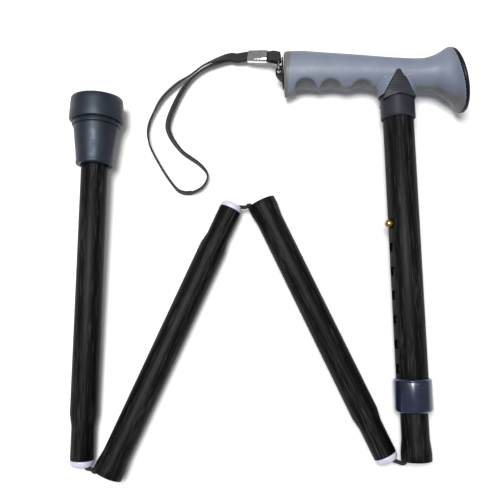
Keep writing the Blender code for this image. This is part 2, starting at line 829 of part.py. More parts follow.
def make_cord_stop(name, frame, finish, at, height):
    """Crimped stop on the cord's end, with waisted sides."""
    x, y, low = at
    profile = (
        (0, low),
        (0.0030, low),
        (0.0034, low + height * 0.15),
        (0.0030, low + height * 0.5),
        (0.0034, low + height * 0.85),
        (0.0030, low + height),
        (0, low + height),
    )
    shape = placed(turned(profile, False, 16), Matrix.Translation((x, y, 0)))
    return piece(name, shape, frame, finish)


def make_section_tube(name, frame, finish, length):
    """Section with a swaged top and a flared mouth, hanging down from its nose."""
    top = -NOSE_LENGTH
    profile = flared_tube_profile(top, -length, 0, 0, spigot=top - SPIGOT_LENGTH)
    return piece(name, turned(profile), frame, finish)


def make_tip_tube(name, frame, finish, length):
    """Last section: swaged top, and a plain end inside the rubber tip."""
    top = -NOSE_LENGTH
    spigot = top - SPIGOT_LENGTH
    shoulder = spigot - SHOULDER_LENGTH
    end = -length + TIP_FLOOR + TIP_WASHER + 0.0024
    profile = (
        (TUBE_ID / 2, end),
        (TUBE_OD / 2, end),
        (TUBE_OD / 2, shoulder),
        (SPIGOT_OD / 2, spigot),
        (SPIGOT_OD / 2, top),
        (SPIGOT_OD / 2 - WALL, top),
        (SPIGOT_OD / 2 - WALL, spigot),
        (TUBE_ID / 2, shoulder),
    )
    return piece(name, turned(profile), frame, finish)


def make_nose(name, frame, finish):
    """Nylon nose in a swaged end: rim, domed face, funnel and bore for the cord, stem inside."""
    seat = -NOSE_LENGTH + GAP
    hole = CORD_HOLE / 2
    dome = []
    steps = 4
    for k in range(steps + 1):
        turn = math.pi / 2 * k / steps
        radius = hole + 0.0010 + (NOSE_OD / 2 - hole - 0.0010) * math.cos(turn)
        dome.append((radius, seat + NOSE_RIM - GAP + (NOSE_LENGTH - NOSE_RIM) * math.sin(turn)))
    profile = [
        (hole, seat - NOSE_STEM_LENGTH),
        (NOSE_STEM / 2 - 0.0005, seat - NOSE_STEM_LENGTH),
        (NOSE_STEM / 2, seat - NOSE_STEM_LENGTH + 0.0008),
        (NOSE_STEM / 2, seat),
        (NOSE_OD / 2, seat),
    ] + dome
    profile.append((hole, -0.0014))
    return piece(name, turned(profile, sides=SMALL_SIDES), frame, finish)


def make_rubber_tip(frame, finish, length):
    """Ground tip: bored for the tube, waisted body on a wide foot, ringed ground face."""
    bore = TUBE_OD / 2 + GAP
    face = -length
    pocket = 0.0052
    outline = [
        (bore, TIP_HEIGHT),
        (0.0129, TIP_HEIGHT),
        (0.0137, TIP_HEIGHT - 0.0009),
        (0.0137, TIP_HEIGHT - 0.0030),
        (0.0152, 0.0330),
        (0.0163, 0.0200),
        (0.0166, 0.0168),
        (0.0178, 0.0160),
        (0.0178, 0.0148),
        (0.0192, 0.0142),
        (0.01955, 0.0130),
        (0.0192, 0.0050),
        (0.0188, 0.0008),
        (0.0181, 0),
    ]
    grooves = []
    for radius in (0.0150, 0.0112, 0.0074):
        grooves += [(radius + 0.0008, 0), (radius + 0.0004, 0.0010), (radius - 0.0004, 0.0010), (radius - 0.0008, 0)]
    inside = [(0, 0), (0, pocket), (pocket, pocket), (pocket, TIP_FLOOR), (bore, TIP_FLOOR)]
    profile = [(radius, face + height) for radius, height in outline + grooves + inside]
    low, high = profile.index((0, face)), profile.index((0, face + pocket))
    chain = profile[high:] + profile[: low + 1]
    return piece("rubber_tip", turned(chain, False), frame, finish)


def make_ring(ring, finish):
    """Split ring: round wire in the upright plane of the ring's frame."""
    bm = bmesh.new()
    wire = [bm.verts.new((RING_MEAN_R + RING_WIRE_R * math.cos(t), 0, RING_WIRE_R * math.sin(t)))
            for t in (math.tau * k / 8 for k in range(8))]
    edges = [bm.edges.new((wire[k], wire[(k + 1) % 8])) for k in range(8)]
    bmesh.ops.spin(
        bm, geom=wire + edges, cent=(0, 0, 0), axis=(0, 0, 1), angle=math.tau, steps=SMALL_SIDES
    )
    bmesh.ops.remove_doubles(bm, verts=bm.verts, dist=1e-6)
    bmesh.ops.recalc_face_normals(bm, faces=bm.faces)
    shape = placed(bm, Matrix.Rotation(math.pi / 2, 4, "Y"))
    return piece("strap_ring", placed(shape, Matrix.Translation((0, RING_MEAN_R, 0))), ring, finish)


def make_strap(frame, finish):
    """The wrist loop: one flat tape from the clamp round the loop and back into the clamp."""
    into_clamp = (CLAMP_RIGHT - CLAMP_LEFT) * STRAP_IN_CLAMP
    shift = Vector((*ORIGIN_SHIFT, 0))
    route = [Vector(item) + shift for item in STRAP_ROUTE]
    upper = Vector((*(CLAMP_LEFT + into_clamp + UP * STRAND_HALF_PITCH), 0))
    lower = Vector((*(CLAMP_LEFT + into_clamp - UP * STRAND_HALF_PITCH), 0))
    upper_mouth = Vector((*(CLAMP_LEFT + UP * STRAND_HALF_PITCH), 0))
    lower_mouth = Vector((*(CLAMP_LEFT - UP * STRAND_HALF_PITCH), 0))
    knots = [upper, upper_mouth] + route + [lower_mouth, lower]
    samples = smooth_path(knots, 4)
    points = [Vector(item[:3]) for item in samples]
    last = len(points) - 1
    widths = []
    for i, item in enumerate(samples):
        ahead = (points[min(i + 1, last)] - points[max(i - 1, 0)]).normalized()
        level = UP.cross(ahead).normalized()
        lean = math.radians(item[3])
        going_out = 1 if i < last / 2 else -1
        widths.append((level * math.cos(lean) * going_out + UP * math.sin(lean)) * STRAP_WIDTH)
    flat = frame.world.inverted()
    return piece("wrist_strap", placed(ribbon(points, widths, STRAP_THICKNESS), flat), frame, finish)


def clamp_matrix():
    along = (CLAMP_LEFT - CLAMP_RIGHT).normalized()
    return axes_matrix(CLAMP_RIGHT, UP.cross(along), along)


def make_clamp(frame, finish):
    """Folded metal clamp: a flat sleeve round the tapes."""
    length = (CLAMP_LEFT - CLAMP_RIGHT).length
    bm = bmesh.new()
    rings = []
    for (width, height), z in (
        (CLAMP_OUTER, 0),
        (CLAMP_OUTER, length),
        (CLAMP_INNER, length),
        (CLAMP_INNER, 0),
    ):
        corner = 0.0009 if width == CLAMP_OUTER[0] else 0.0004
        ring = []
        for sx, sy in ((1, 1), (-1, 1), (-1, -1), (1, -1)):
            a = (sx * width / 2, sy * (height / 2 - corner))
            b = (sx * (width / 2 - corner), sy * height / 2)
            ring += [a, b] if sx * sy > 0 else [b, a]
        rings.append([bm.verts.new((x, y, z)) for x, y in ring])
    for first, second in zip(rings, rings[1:] + rings[:1]):
        for i in range(8):
            j = (i + 1) % 8
            bm.faces.new((first[i], first[j], second[j], second[i]))
    bmesh.ops.recalc_face_normals(bm, faces=bm.faces)
    return piece("strap_clamp", placed(bm, frame.world.inverted() @ clamp_matrix()), frame, finish)


def make_end_loop(frame, finish, wire):
    """Short tape loop from the clamp over the ring's wire and back into the clamp."""
    along = clamp_matrix().to_3x3() @ Vector((0, 0, 1))
    inside = CLAMP_RIGHT + along * 0.0060
    half = 0.0011
    over = wire + UP * (RING_WIRE_R + 0.0009)
    under = wire - UP * 0.0031
    past = wire + Vector((0.0016, 0, -0.0008))
    route = [
        inside + UP * half,
        CLAMP_RIGHT + UP * half,
        (CLAMP_RIGHT + UP * half + over) / 2 + UP * 0.0012,
        over,
        past,
        under,
        (CLAMP_RIGHT - UP * half + under) / 2 - UP * 0.0004,
        CLAMP_RIGHT - UP * half,
        inside - UP * half,
    ]
    steps = 3
    points = smooth_path(route, steps)
    at_clamp = Vector((along.y, -along.x, 0)).normalized()
    at_ring = heading_vector(RING_HEADING)
    middle = len(route) // 2
    widths = []
    for i in range(len(points)):
        from_ring = abs(i / steps - middle)
        share = min(1.0, max(0.0, (from_ring - 1) / 2))
        widths.append(at_ring.lerp(at_clamp, share).normalized() * LOOP_WIDTH)
    strip = ribbon(points, widths, LOOP_THICKNESS)
    return piece("strap_end_loop", placed(strip, frame.world.inverted()), frame, finish)


def wire_over_ring(ring):
    """The top of the ring's wire, where the tape hangs on it."""
    up = (ring.world.to_3x3().inverted() @ UP).normalized()
    side = Vector((0, up.y, up.z)).normalized()
    return ring.world @ (Vector((0, RING_MEAN_R, 0)) + side * RING_MEAN_R)


def side_to(mouth, nose, run):
    """Unit vector across the mouth, towards the next section's nose."""
    across = nose - mouth
    return (across - run * run.dot(across)).normalized()


def cord_out_of_mouth(mouth, run, side):
    """The cord's way along the wall, out of the mouth and over its lip."""
    return [
        mouth - run * CORD_HIDDEN + side * CORD_ASIDE,
        mouth + run * 0.0008 + side * CORD_ASIDE,
        mouth + run * 0.0032 + side * (CORD_ASIDE + 0.0022),
    ]


def cord_into_nose(nose, down):
    """The cord's way from in front of the nose into its bore."""
    return [nose - down * 0.0021, nose + down * 0.0022, nose + down * CORD_IN_BORE]


def make_folds(slider, place, finish):
    """The three folds: links of bare cord, the sections that hang on them, and their hinges."""
    u_1 = (place["mouth_1"] - place["crossing"]).normalized()
    u_2 = (place["mouth_2"] - place["nose_2"]).normalized()
    u_3 = (place["mouth_3"] - place["nose_3"]).normalized()
    u_4 = (place["ground_face"] - place["nose_4"]).normalized()
    d_1 = (place["nose_2"] - place["mouth_1"]).normalized()
    d_2a = (place["middle_2"] - place["mouth_2"]).normalized()
    d_2b = (place["nose_3"] - place["middle_2"]).normalized()
    d_3 = (place["nose_4"] - place["mouth_3"]).normalized()

    link_1 = Frame("fold_1_link_frame", hinge_matrix(place["mouth_1"], d_1, u_1), slider)
    section_2 = Frame("section_2_frame", section_matrix(place["nose_2"], place["mouth_2"]), link_1)
    link_2a = Frame("fold_2_first_link_frame", hinge_matrix(place["mouth_2"], d_2a, u_2), section_2)
    link_2b = Frame("fold_2_second_link_frame", hinge_matrix(place["middle_2"], d_2b, d_2a), link_2a)
    section_3 = Frame("section_3_frame", section_matrix(place["nose_3"], place["mouth_3"]), link_2b)
    link_3 = Frame("fold_3_link_frame", hinge_matrix(place["mouth_3"], d_3, u_3), section_3)
    section_4 = Frame("section_4_frame", section_matrix(place["nose_4"], place["ground_face"]), link_3)

    for number, frame, length in ((2, section_2, SECTION_2_LENGTH), (3, section_3, SECTION_3_LENGTH)):
        make_section_tube(f"section_{number}_tube", frame, finish["tube"], length)
        make_nose(f"section_{number}_plug", frame, finish["nylon"])
    make_tip_tube("section_4_tube", section_4, finish["tube"], SECTION_4_LENGTH)
    make_nose("section_4_plug", section_4, finish["nylon"])
    make_rubber_tip(section_4, finish["tip"], SECTION_4_LENGTH)

    side_1 = side_to(place["mouth_1"], place["nose_2"], u_1)
    side_2 = side_to(place["mouth_2"], place["nose_3"], u_2)
    side_3 = side_to(place["mouth_3"], place["nose_4"], u_3)
    bend = cord_out_of_mouth(place["mouth_1"], u_1, side_1) + cord_into_nose(place["nose_2"], u_2)
    cord("cord_bend_1", smooth_path(bend, 4), link_1, finish["cord"], local=False)
    bend = cord_out_of_mouth(place["mouth_2"], u_2, side_2)[:2]
    bend += [place["middle_2"]] + cord_into_nose(place["nose_3"], u_3)
    whole = smooth_path(bend, 4)
    split = 4 * 2
    along = (whole[split + 1] - whole[split - 1]).normalized()
    middle = whole[split]
    first = whole[: split - 1] + [middle - along * CORD_STRAIGHT, middle - along * GAP / 2]
    second = [middle + along * GAP / 2, middle + along * CORD_STRAIGHT] + whole[split + 1 :]
    cord("cord_bend_2_socket_side", first, link_2a, finish["cord"], local=False)
    cord("cord_bend_2_plug_side", second, link_2b, finish["cord"], local=False)
    bend = cord_out_of_mouth(place["mouth_3"], u_3, side_3) + cord_into_nose(place["nose_4"], u_4)
    cord("cord_bend_3", smooth_path(bend, 4), link_3, finish["cord"], local=False)

    for number, frame, length, side in (
        (2, section_2, SECTION_2_LENGTH, side_2),
        (3, section_3, SECTION_3_LENGTH, side_3),
    ):
        aside = (frame.world.to_3x3().inverted() @ side).normalized()
        route = [
            Vector((0, 0, -CORD_IN_BORE - GAP)),
            Vector((0, 0, -0.030)),
            Vector((0, 0, -length * 0.35)),
            aside * CORD_ASIDE * 0.5 + Vector((0, 0, -length * 0.7)),
            aside * CORD_ASIDE * 0.82 + Vector((0, 0, -length + 0.020)),
            aside * CORD_ASIDE + Vector((0, 0, -length + CORD_HIDDEN + 0.003)),
            aside * CORD_ASIDE + Vector((0, 0, -length + CORD_HIDDEN + GAP)),
        ]
        cord(f"cord_in_section_{number}", smooth_path(route, 3), frame, finish["cord"])

    aside = (slider.world.to_3x3().inverted() @ side_1).normalized()
    plug_top = INNER_TOP + GAP + 0.0024
    disc_low = plug_top + GAP
    stop_low = disc_low + ANCHOR_DISC + GAP
    lane = lane_point(0)
    route = [
        lane_point(stop_low - GAP),
        lane_point(INNER_TOP - 0.012),
        lane_point(HOLE_TOP - 0.032),
        lane * 0.45 + aside * CORD_ASIDE * 0.35 + Vector((0, 0, HOLE_TOP - 0.075)),
        aside * CORD_ASIDE * 0.70 + Vector((0, 0, MOUTH_1 + 0.050)),
        aside * CORD_ASIDE * 0.82 + Vector((0, 0, MOUTH_1 + 0.020)),
        aside * CORD_ASIDE + Vector((0, 0, MOUTH_1 + CORD_HIDDEN + 0.003)),
        aside * CORD_ASIDE + Vector((0, 0, MOUTH_1 + CORD_HIDDEN + GAP)),
    ]
    cord("cord_in_inner_tube", smooth_path(route, 3), slider, finish["cord"])
    hole = CORD_OD / 2 + GAP
    upper = (lane.x, lane.y, disc_low)
    disc_with_hole("upper_anchor_disc", slider, finish["steel"], upper, STOP_R, hole, ANCHOR_DISC)
    make_cord_stop("upper_cord_stop", slider, finish["steel"], (lane.x, lane.y, stop_low), STOP_HEIGHT)

    washer_low = -SECTION_4_LENGTH + TIP_FLOOR + GAP
    disc_low = washer_low + TIP_WASHER + GAP
    washer_r = TUBE_OD / 2 - GAP
    disc_with_hole(
        "tip_washer", section_4, finish["steel"], (0, 0, washer_low), washer_r, 0.0052, TIP_WASHER
    )
    disc_with_hole(
        "lower_anchor_disc", section_4, finish["steel"], (0, 0, disc_low), washer_r, hole, ANCHOR_DISC
    )
    stop_low = disc_low - GAP - STOP_HEIGHT
    make_cord_stop("lower_cord_stop", section_4, finish["steel"], (0, 0, stop_low), STOP_HEIGHT)
    route = [Vector((0, 0, -CORD_IN_BORE - GAP)), Vector((0, 0, -0.1)), Vector((0, 0, disc_low))]
    cord("cord_in_section_4", smooth_path(route, 2), section_4, finish["cord"])

    report_hinge("fold_1_socket_side", place["mouth_1"], d_1, u_1)
    report_hinge("fold_1_plug_side", place["nose_2"], u_2, d_1)
    report_hinge("fold_2_socket_side", place["mouth_2"], d_2a, u_2)
    report_hinge("fold_2_middle", place["middle_2"], d_2b, d_2a)
    report_hinge("fold_2_plug_side", place["nose_3"], u_3, d_2b)
    report_hinge("fold_3_socket_side", place["mouth_3"], d_3, u_3)
    report_hinge("fold_3_plug_side", place["nose_4"], u_4, d_3)


def report_hinge(name, at, before, after):
    """Prints a hinge's place, its axis, and the angle that brings the sections in line."""
    in_line = math.degrees(before.angle(after))
    print(name, [round(v, 6) for v in at], unit(before.cross(after)), round(in_line, 3))


def report_slide(name, world, axis):
    """Prints a slide's or a turn's place and axis in the world."""
    print(name, [round(v, 6) for v in world.translation], unit(world.to_3x3() @ Vector(axis)))


def unit(vector):
    """The vector's direction, of length one to twelve digits."""
    values = [float(v) for v in vector]
    length = math.sqrt(sum(v * v for v in values))
    return [round(v / length, 12) for v in values]


def main():
    clear_scene()
    finish = make_materials()
    place = lay_out()

    handle = Frame("handle_frame", section_matrix(place["crossing"], place["mouth_1"], HANDLE_ROLL))
    collar = Frame("collar_frame", handle.world.copy(), handle)
    slider = Frame("height_frame", handle.world.copy(), handle)
    button = Frame("button_frame", handle.world @ hole_matrix(HOLE_TOP), slider)

    make_grip(handle, finish["grip"])
    make_core(handle, finish["core"])
    make_palm_cap(handle, finish["core"])
    make_strap_cap(handle, finish["core"])
    make_handle_tube(handle, finish["tube"])
    make_collet(handle, finish["nylon"])
    make_collar(collar, finish["collar"])
    make_inner_tube(slider, finish["tube"])
    make_inner_tube_plug(slider, finish["nylon"])
    make_button(button, finish["brass"])
    make_button_spring(slider, finish["steel"])
    make_folds(slider, place, finish)

    wire_at_lug = (LUG_HOLE[0], 0, LUG_HOLE[1] + LUG_HOLE_R - RING_WIRE_R - GAP)
    lug_point = handle.world @ Vector(wire_at_lug)
    ring_ahead = heading_vector(RING_HEADING)
    ring = Frame("ring_frame", axes_matrix(lug_point, ring_ahead.cross(UP), UP), handle)
    make_ring(ring, finish["steel"])
    hung = wire_over_ring(ring)
    swing = Frame("strap_frame", axes_matrix(hung, UP, Vector((0, 1, 0))), ring)
    make_end_loop(swing, finish["strap"], hung)
    make_clamp(swing, finish["chrome"])
    make_strap(swing, finish["strap"])

    report_slide("height_slide", handle.world, (0, 0, -1))
    report_slide("collar_turn", handle.world, (0, 0, 1))
    report_slide("button_press", button.world, (0, 0, -1))
    report_slide("ring_swing", ring.world, (0, 0, 1))
    report_slide("strap_swing", swing.world, (0, 0, 1))


main()
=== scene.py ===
# %% [markdown]
# # A folding walking cane
# This lesson dresses a cane that is already laid out in exact solids. They say where every piece is
# and how it moves. Here each visible piece gets its finer shape and its finish.

# %% Load the fixed frame
import json
import math

import bpy
from mathutils import Matrix, Vector


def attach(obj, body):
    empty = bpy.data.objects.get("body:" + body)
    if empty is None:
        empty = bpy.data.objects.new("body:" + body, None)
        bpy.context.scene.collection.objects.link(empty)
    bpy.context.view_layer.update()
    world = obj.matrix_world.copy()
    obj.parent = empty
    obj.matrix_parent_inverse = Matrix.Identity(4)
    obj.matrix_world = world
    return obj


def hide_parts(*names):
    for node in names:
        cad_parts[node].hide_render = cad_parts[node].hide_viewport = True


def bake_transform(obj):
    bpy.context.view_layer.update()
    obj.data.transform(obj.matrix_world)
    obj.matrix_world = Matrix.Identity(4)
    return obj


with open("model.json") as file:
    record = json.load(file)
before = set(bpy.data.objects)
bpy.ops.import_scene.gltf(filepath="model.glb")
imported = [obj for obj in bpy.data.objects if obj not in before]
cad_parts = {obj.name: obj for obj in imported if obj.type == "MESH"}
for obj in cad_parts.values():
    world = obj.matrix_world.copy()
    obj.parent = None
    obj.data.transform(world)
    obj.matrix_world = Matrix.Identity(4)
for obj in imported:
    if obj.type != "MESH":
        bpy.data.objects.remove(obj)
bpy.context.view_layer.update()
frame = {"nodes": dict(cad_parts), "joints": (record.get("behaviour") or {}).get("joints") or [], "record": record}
joints = {joint["name"]: joint for joint in frame["joints"]}
mounts = {mount["name"]: mount for mount in frame["record"]["mounts"]}
UP = Vector((0, 0, 1))
AS_MADE = Matrix.Identity(4)
print("joints:", len(joints), "solids:", len(frame["nodes"]))

# %% [markdown]
# ## Where the sections lie
# Each section of the cane is made upright and then laid down, so it needs a frame: an origin at
# its top end, +Z up the section and -Y towards the sky. The joints hold the end points, so the
# frames are read from them.

# %% Section frames
HANDLE_ROLL = math.radians(4.1)


def place_of(joint):
    return Vector(joints[joint]["pos_m"])


def axes_frame(origin, x_axis, z_axis):
    """A frame at origin with +Z along z_axis and +X as near to x_axis as it can be."""
    z = z_axis.normalized()
    x = (x_axis - z * z.dot(x_axis)).normalized()
    turn = Matrix((x, z.cross(x), z)).transposed().to_4x4()
    return Matrix.Translation(origin) @ turn


def section_frame(top, up_the_section, roll=0.0):
    z = up_the_section.normalized()
    down = -(UP - z * z.dot(UP)).normalized()
    x = down.cross(z)
    return axes_frame(top, x * math.cos(roll) - down * math.sin(roll), z)


crossing = place_of("collar_turn")
ground_face = Vector(mounts["ground_face"]["pos_m"])
mouths = [place_of(f"fold_{fold}_socket_side") for fold in (1, 2, 3)]
noses = [place_of(f"fold_{fold}_plug_side") for fold in (1, 2, 3)]
handle_frame = section_frame(crossing, Vector(joints["collar_turn"]["axis"]), HANDLE_ROLL)
section_frames, lengths = {}, {}
for number, nose, end in zip((2, 3, 4), noses, mouths[1:] + [ground_face]):
    section_frames[number] = section_frame(nose, nose - end)
    lengths[number] = (nose - end).length
MOUTH_1 = -(mouths[0] - crossing).length
print("sections:", round(MOUTH_1, 4), {number: round(length, 4) for number, length in lengths.items()})

# %% [markdown]
# ## The camera
# The cane was photographed from above, leaning a little from the folds towards the handle. The
# camera's height and lens come from how much wider the raised grip looks than the tubes that lie
# on the floor.

# %% Camera
CAMERA_AT = (-0.0149, -0.0656, 0.4543)
CAMERA_TILT = math.radians(9)
CAMERA_LENS = 44.64

bpy.ops.object.camera_add(location=CAMERA_AT, rotation=(CAMERA_TILT, 0, 0))
camera = bpy.context.object
camera.data.lens = CAMERA_LENS
bpy.context.scene.camera = camera

# %% [markdown]
# ## Making and finishing tools
# Nearly every piece of a cane is turned: a tube, a plug, a ferrule. Such a piece starts as one
# circle, and each further ring is an extrusion that is moved along the axis and scaled, as one
# works by hand. A bevel then softens the edges, because no real edge is sharp.

# %% Modelling helpers
def clear_selection():
    """An operator acts on everything that is selected, so each step starts with nothing."""
    if bpy.context.mode != "OBJECT":
        bpy.ops.object.mode_set(mode="OBJECT")
    bpy.ops.object.select_all(action="DESELECT")


def take(piece):
    clear_selection()
    piece.select_set(True)
    bpy.context.view_layer.objects.active = piece


def settle(piece, matrix):
    """Moves a piece there and leaves it with no transform of its own."""
    take(piece)
    piece.matrix_world = matrix
    bpy.ops.object.transform_apply()


def outwards(piece):
    """Turns every face of a piece outwards."""
    take(piece)
    bpy.ops.object.mode_set(mode="EDIT")
    bpy.ops.mesh.select_all(action="SELECT")
    bpy.ops.mesh.normals_make_consistent(inside=False)
    bpy.ops.object.mode_set(mode="OBJECT")
    return piece


def turned(name, outline, sides=96, closed=True):
    """A turned piece from (radius, height) stations. Closed joins the last ring to the first,
    and otherwise the two open ends are filled."""
    clear_selection()
    radius, height = outline[0]
    bpy.ops.mesh.primitive_circle_add(vertices=sides, radius=radius, location=(0, 0, height))
    piece = bpy.context.object
    piece.name = name
    bpy.ops.object.transform_apply()
    bpy.ops.object.mode_set(mode="EDIT")
    bpy.ops.mesh.select_all(action="SELECT")
    for next_radius, next_height in outline[1:] + (outline[:1] if closed else ()):
        rise = (0, 0, next_height - height)
        bpy.ops.mesh.extrude_edges_move(TRANSFORM_OT_translate={"value": rise})
        scale = next_radius / radius
        bpy.ops.transform.resize(value=(scale, scale, 1), center_override=(0, 0, next_height))
        radius, height = next_radius, next_height
    bpy.ops.mesh.select_all(action="SELECT")
    bpy.ops.mesh.remove_doubles(threshold=1e-6)
    if not closed:
        bpy.ops.mesh.select_all(action="DESELECT")
        bpy.ops.mesh.select_mode(type="EDGE")
        only_edges = {"use_wire": False, "use_multi_face": False, "use_verts": False}
        bpy.ops.mesh.select_non_manifold(extend=False, **only_edges)
        bpy.ops.mesh.edge_face_add()
        bpy.ops.mesh.select_mode(type="VERT")
    return outwards(piece)


def mesh_piece(name, points, faces):
    mesh = bpy.data.meshes.new(name)
    mesh.from_pydata(points, [], faces)
    piece = bpy.data.objects.new(name, mesh)
    bpy.context.collection.objects.link(piece)
    return piece


def bands(rings, count, closed=False):
    """Faces between rings of count points each. Closed also joins the last ring to the first."""
    faces = []
    for i in range(rings if closed else rings - 1):
        j = (i + 1) % rings
        for k in range(count):
            n = (k + 1) % count
            faces.append((i * count + k, i * count + n, j * count + n, j * count + k))
    return faces


def apply_modifier(piece, kind, **settings):
    take(piece)
    modifier = piece.modifiers.new(kind.lower(), kind)
    for key, value in settings.items():
        setattr(modifier, key, value)
    bpy.ops.object.modifier_apply(modifier=modifier.name)


def soften(piece, width, segments, angle):
    """Rounds the edges of a piece that are sharper than the angle."""
    apply_modifier(piece, "BEVEL", width=width, segments=segments, angle_limit=math.radians(angle))


def wrap(piece):
    """UV for an upright turned piece, in metres: U runs round it and V runs up it."""
    layer = piece.data.uv_layers.new(name="wrap")
    for polygon in piece.data.polygons:
        corners = [piece.data.vertices[vertex].co for vertex in polygon.vertices]
        turns = [math.atan2(point.x, -point.y) for point in corners]
        jump = max(turns) - min(turns) > math.pi
        for loop, point, turn in zip(polygon.loop_indices, corners, turns):
            if jump and turn < 0:
                turn += math.tau
            layer.data[loop].uv = (turn * math.hypot(point.x, point.y), point.z)


def finish_piece(piece, frame_matrix, body, material, node, angle=40):
    """Lays a piece in its place, gives it its finish, and hides the solid it stands for. Edges
    under the angle look smooth. A piece that is given a pair of bodies is attached to neither."""
    take(piece)
    bpy.ops.object.shade_smooth_by_angle(angle=math.radians(angle))
    settle(piece, frame_matrix)
    piece.data.materials.clear()
    piece.data.materials.append(material)
    if isinstance(body, str):
        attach(piece, body)
    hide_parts(node)
    print(piece.name, len(piece.data.polygons), "faces")


def cut(piece, tool, operation="DIFFERENCE"):
    """Cuts or joins with a tool piece, which is then deleted."""
    apply_modifier(piece, "BOOLEAN", object=tool, operation=operation, solver="EXACT")
    bpy.data.objects.remove(tool, do_unlink=True)


# %% [markdown]
# ## Writing materials as expressions
# A finish is a small web of nodes. Written by hand it is long, so a class wraps a node's output and
# lets Python's own signs make the Math nodes. Every other node comes from one method.

# %% Material helpers
class Value:
    """The output of a node, with Python's signs for the Math nodes."""

    def __init__(self, tree, socket):
        self.tree = tree
        self.socket = socket

    def maths(self, operation, *items):
        node = self.tree.nodes.new("ShaderNodeMath")
        node.operation = operation
        for slot, item in zip(node.inputs, items):
            plug(self.tree, slot, item)
        return Value(self.tree, node.outputs[0])

    def __add__(self, other):
        return self.maths("ADD", self, other)

    def __mul__(self, other):
        return self.maths("MULTIPLY", self, other)

    def sine(self):
        return self.maths("SINE", self)


def plug(tree, slot, item):
    if isinstance(item, Value):
        tree.links.new(item.socket, slot)
    else:
        slot.default_value = item


class Finish:
    """A material with one Principled shader and the nodes that feed it."""

    def __init__(self, name, roughness=0.5, metallic=0.0, **others):
        self.material = bpy.data.materials.new(name)
        self.material.use_nodes = True
        self.tree = self.material.node_tree
        self.shader = self.tree.nodes["Principled BSDF"]
        self.set("Roughness", roughness)
        self.set("Metallic", metallic)
        for key, value in others.items():
            self.set(key.replace("_", " "), value)

    def set(self, socket, item):
        plug(self.tree, self.shader.inputs[socket], item)

    def node(self, kind, output=0, settings=None, **inputs):
        made = self.tree.nodes.new("ShaderNode" + kind)
        for key, value in (settings or {}).items():
            setattr(made, key, value)
        for key, item in inputs.items():
            slot = next(s for s in made.inputs if s.identifier == key or s.name == key.replace("_", " "))
            plug(self.tree, slot, item)
        return Value(self.tree, made.outputs[output])

    def place(self):
        """Object coordinates: metres in the cane's own frame, so a pattern keeps its real size."""
        return self.node("TexCoord", output=3)

    def wrap(self):
        """The UV that runs round and along a piece, in metres."""
        return self.node("UVMap", settings={"uv_map": "wrap"})

    def painted(self, name):
        """A value from 0 to 1 that the piece carries on its points."""
        return self.node("Attribute", output=2, settings={"attribute_name": name})

    def noise(self, where, scale, detail=2.0, roughness=0.5):
        return self.node("TexNoise", Vector=where, Scale=scale, Detail=detail, Roughness=roughness)

    def stretched(self, where, across, along):
        """Coordinates scaled so that a noise on them is long one way and fine the other."""
        return self.node("Mapping", Vector=where, Scale=(across, along, across))

    def between(self, value, low, high, to_low=0.0, to_high=1.0):
        """The value's way from low to high, spread over another range and held at its ends."""
        spread = {"From_Min": low, "From_Max": high, "To_Min": to_low, "To_Max": to_high}
        return self.node("MapRange", Value=value, **spread)

    def colour(self, factor, first, second):
        made = self.tree.nodes.new("ShaderNodeMix")
        made.data_type = "RGBA"
        for name, item in (("Factor_Float", factor), ("A_Color", first), ("B_Color", second)):
            slot = next(s for s in made.inputs if s.identifier == name)
            plug(self.tree, slot, item if isinstance(item, (Value, float)) else (*item, 1))
        result = next(s for s in made.outputs if s.identifier == "Result_Color")
        return Value(self.tree, result)

    def drift(self, where, scale, first, second, detail=2.0, low=0.3, high=0.7):
        """A colour that wanders between two tones."""
        return self.colour(self.between(self.noise(where, scale, detail), low, high), first, second)

    def worn(self, where, scale, low, high):
        """Lets the roughness wander between two values."""
        self.set("Roughness", self.between(self.noise(where, scale), 0.3, 0.7, low, high))

    def relief(self, height, depth, strength=1.0):
        """Small relief of that depth in metres."""
        self.set("Normal", self.node("Bump", Height=height, Distance=depth, Strength=strength))


# %% [markdown]
# ## Finishes
# ** Grip rubber** is a dull blue-grey with a very fine grain and the faint cloudiness of moulded
# rubber, with painted shade: browner along its edges, dark in its scoops and on its underside.
# **Tube** is black anodised aluminium: the drawing and brushing leave fine grey streaks along it,
# so its noise is stretched along the UV.
# **Collar** plastic is glossy under a bluish coat. Woven tape gets its weave from two crossed waves.

# %% Finishes
made = Finish("grip rubber")
where = made.place()
plain = made.drift(where, 45.0, (0.141, 0.166, 0.22), (0.168, 0.194, 0.252), 3.0)
# Painted shade: a browner tone along the edges and the end rim, where the rubber turns away from the light.
edge_shaded = made.colour(made.painted("edge"), plain, (0.118, 0.112, 0.109))
# Painted shade: a dark tone in the finger scoops and on the underside that faces away from the light.
made.set("Base Color", made.colour(made.painted("painted_scoop_underside_shade"), edge_shaded, (0.062, 0.06, 0.07)))
made.worn(where, 160.0, 0.46, 0.58)
made.relief(made.noise(where, 2600.0, 2.0), 0.00003, 0.6)
grip_rubber = made.material


def handle_finish(name, low, high, rib_pitch=0.0):
    """Dark plastic. With a rib pitch, fine moulded lines run across it."""
    made = Finish(name, Specular_IOR_Level=0.15)
    where = made.place()
    made.set("Base Color", made.drift(where, 70.0, low, high))
    made.worn(where, 300.0, 0.36, 0.48)
    grain = made.noise(where, 3000.0, 1.0)
    if rib_pitch:
        along = made.node("SeparateXYZ", output=1, Vector=where)
        made.relief((along * (math.tau / rib_pitch)).sine() * 0.5 + grain * 0.2, 0.0002, 0.25)
    else:
        made.relief(grain, 0.00002, 0.5)
    return made.material


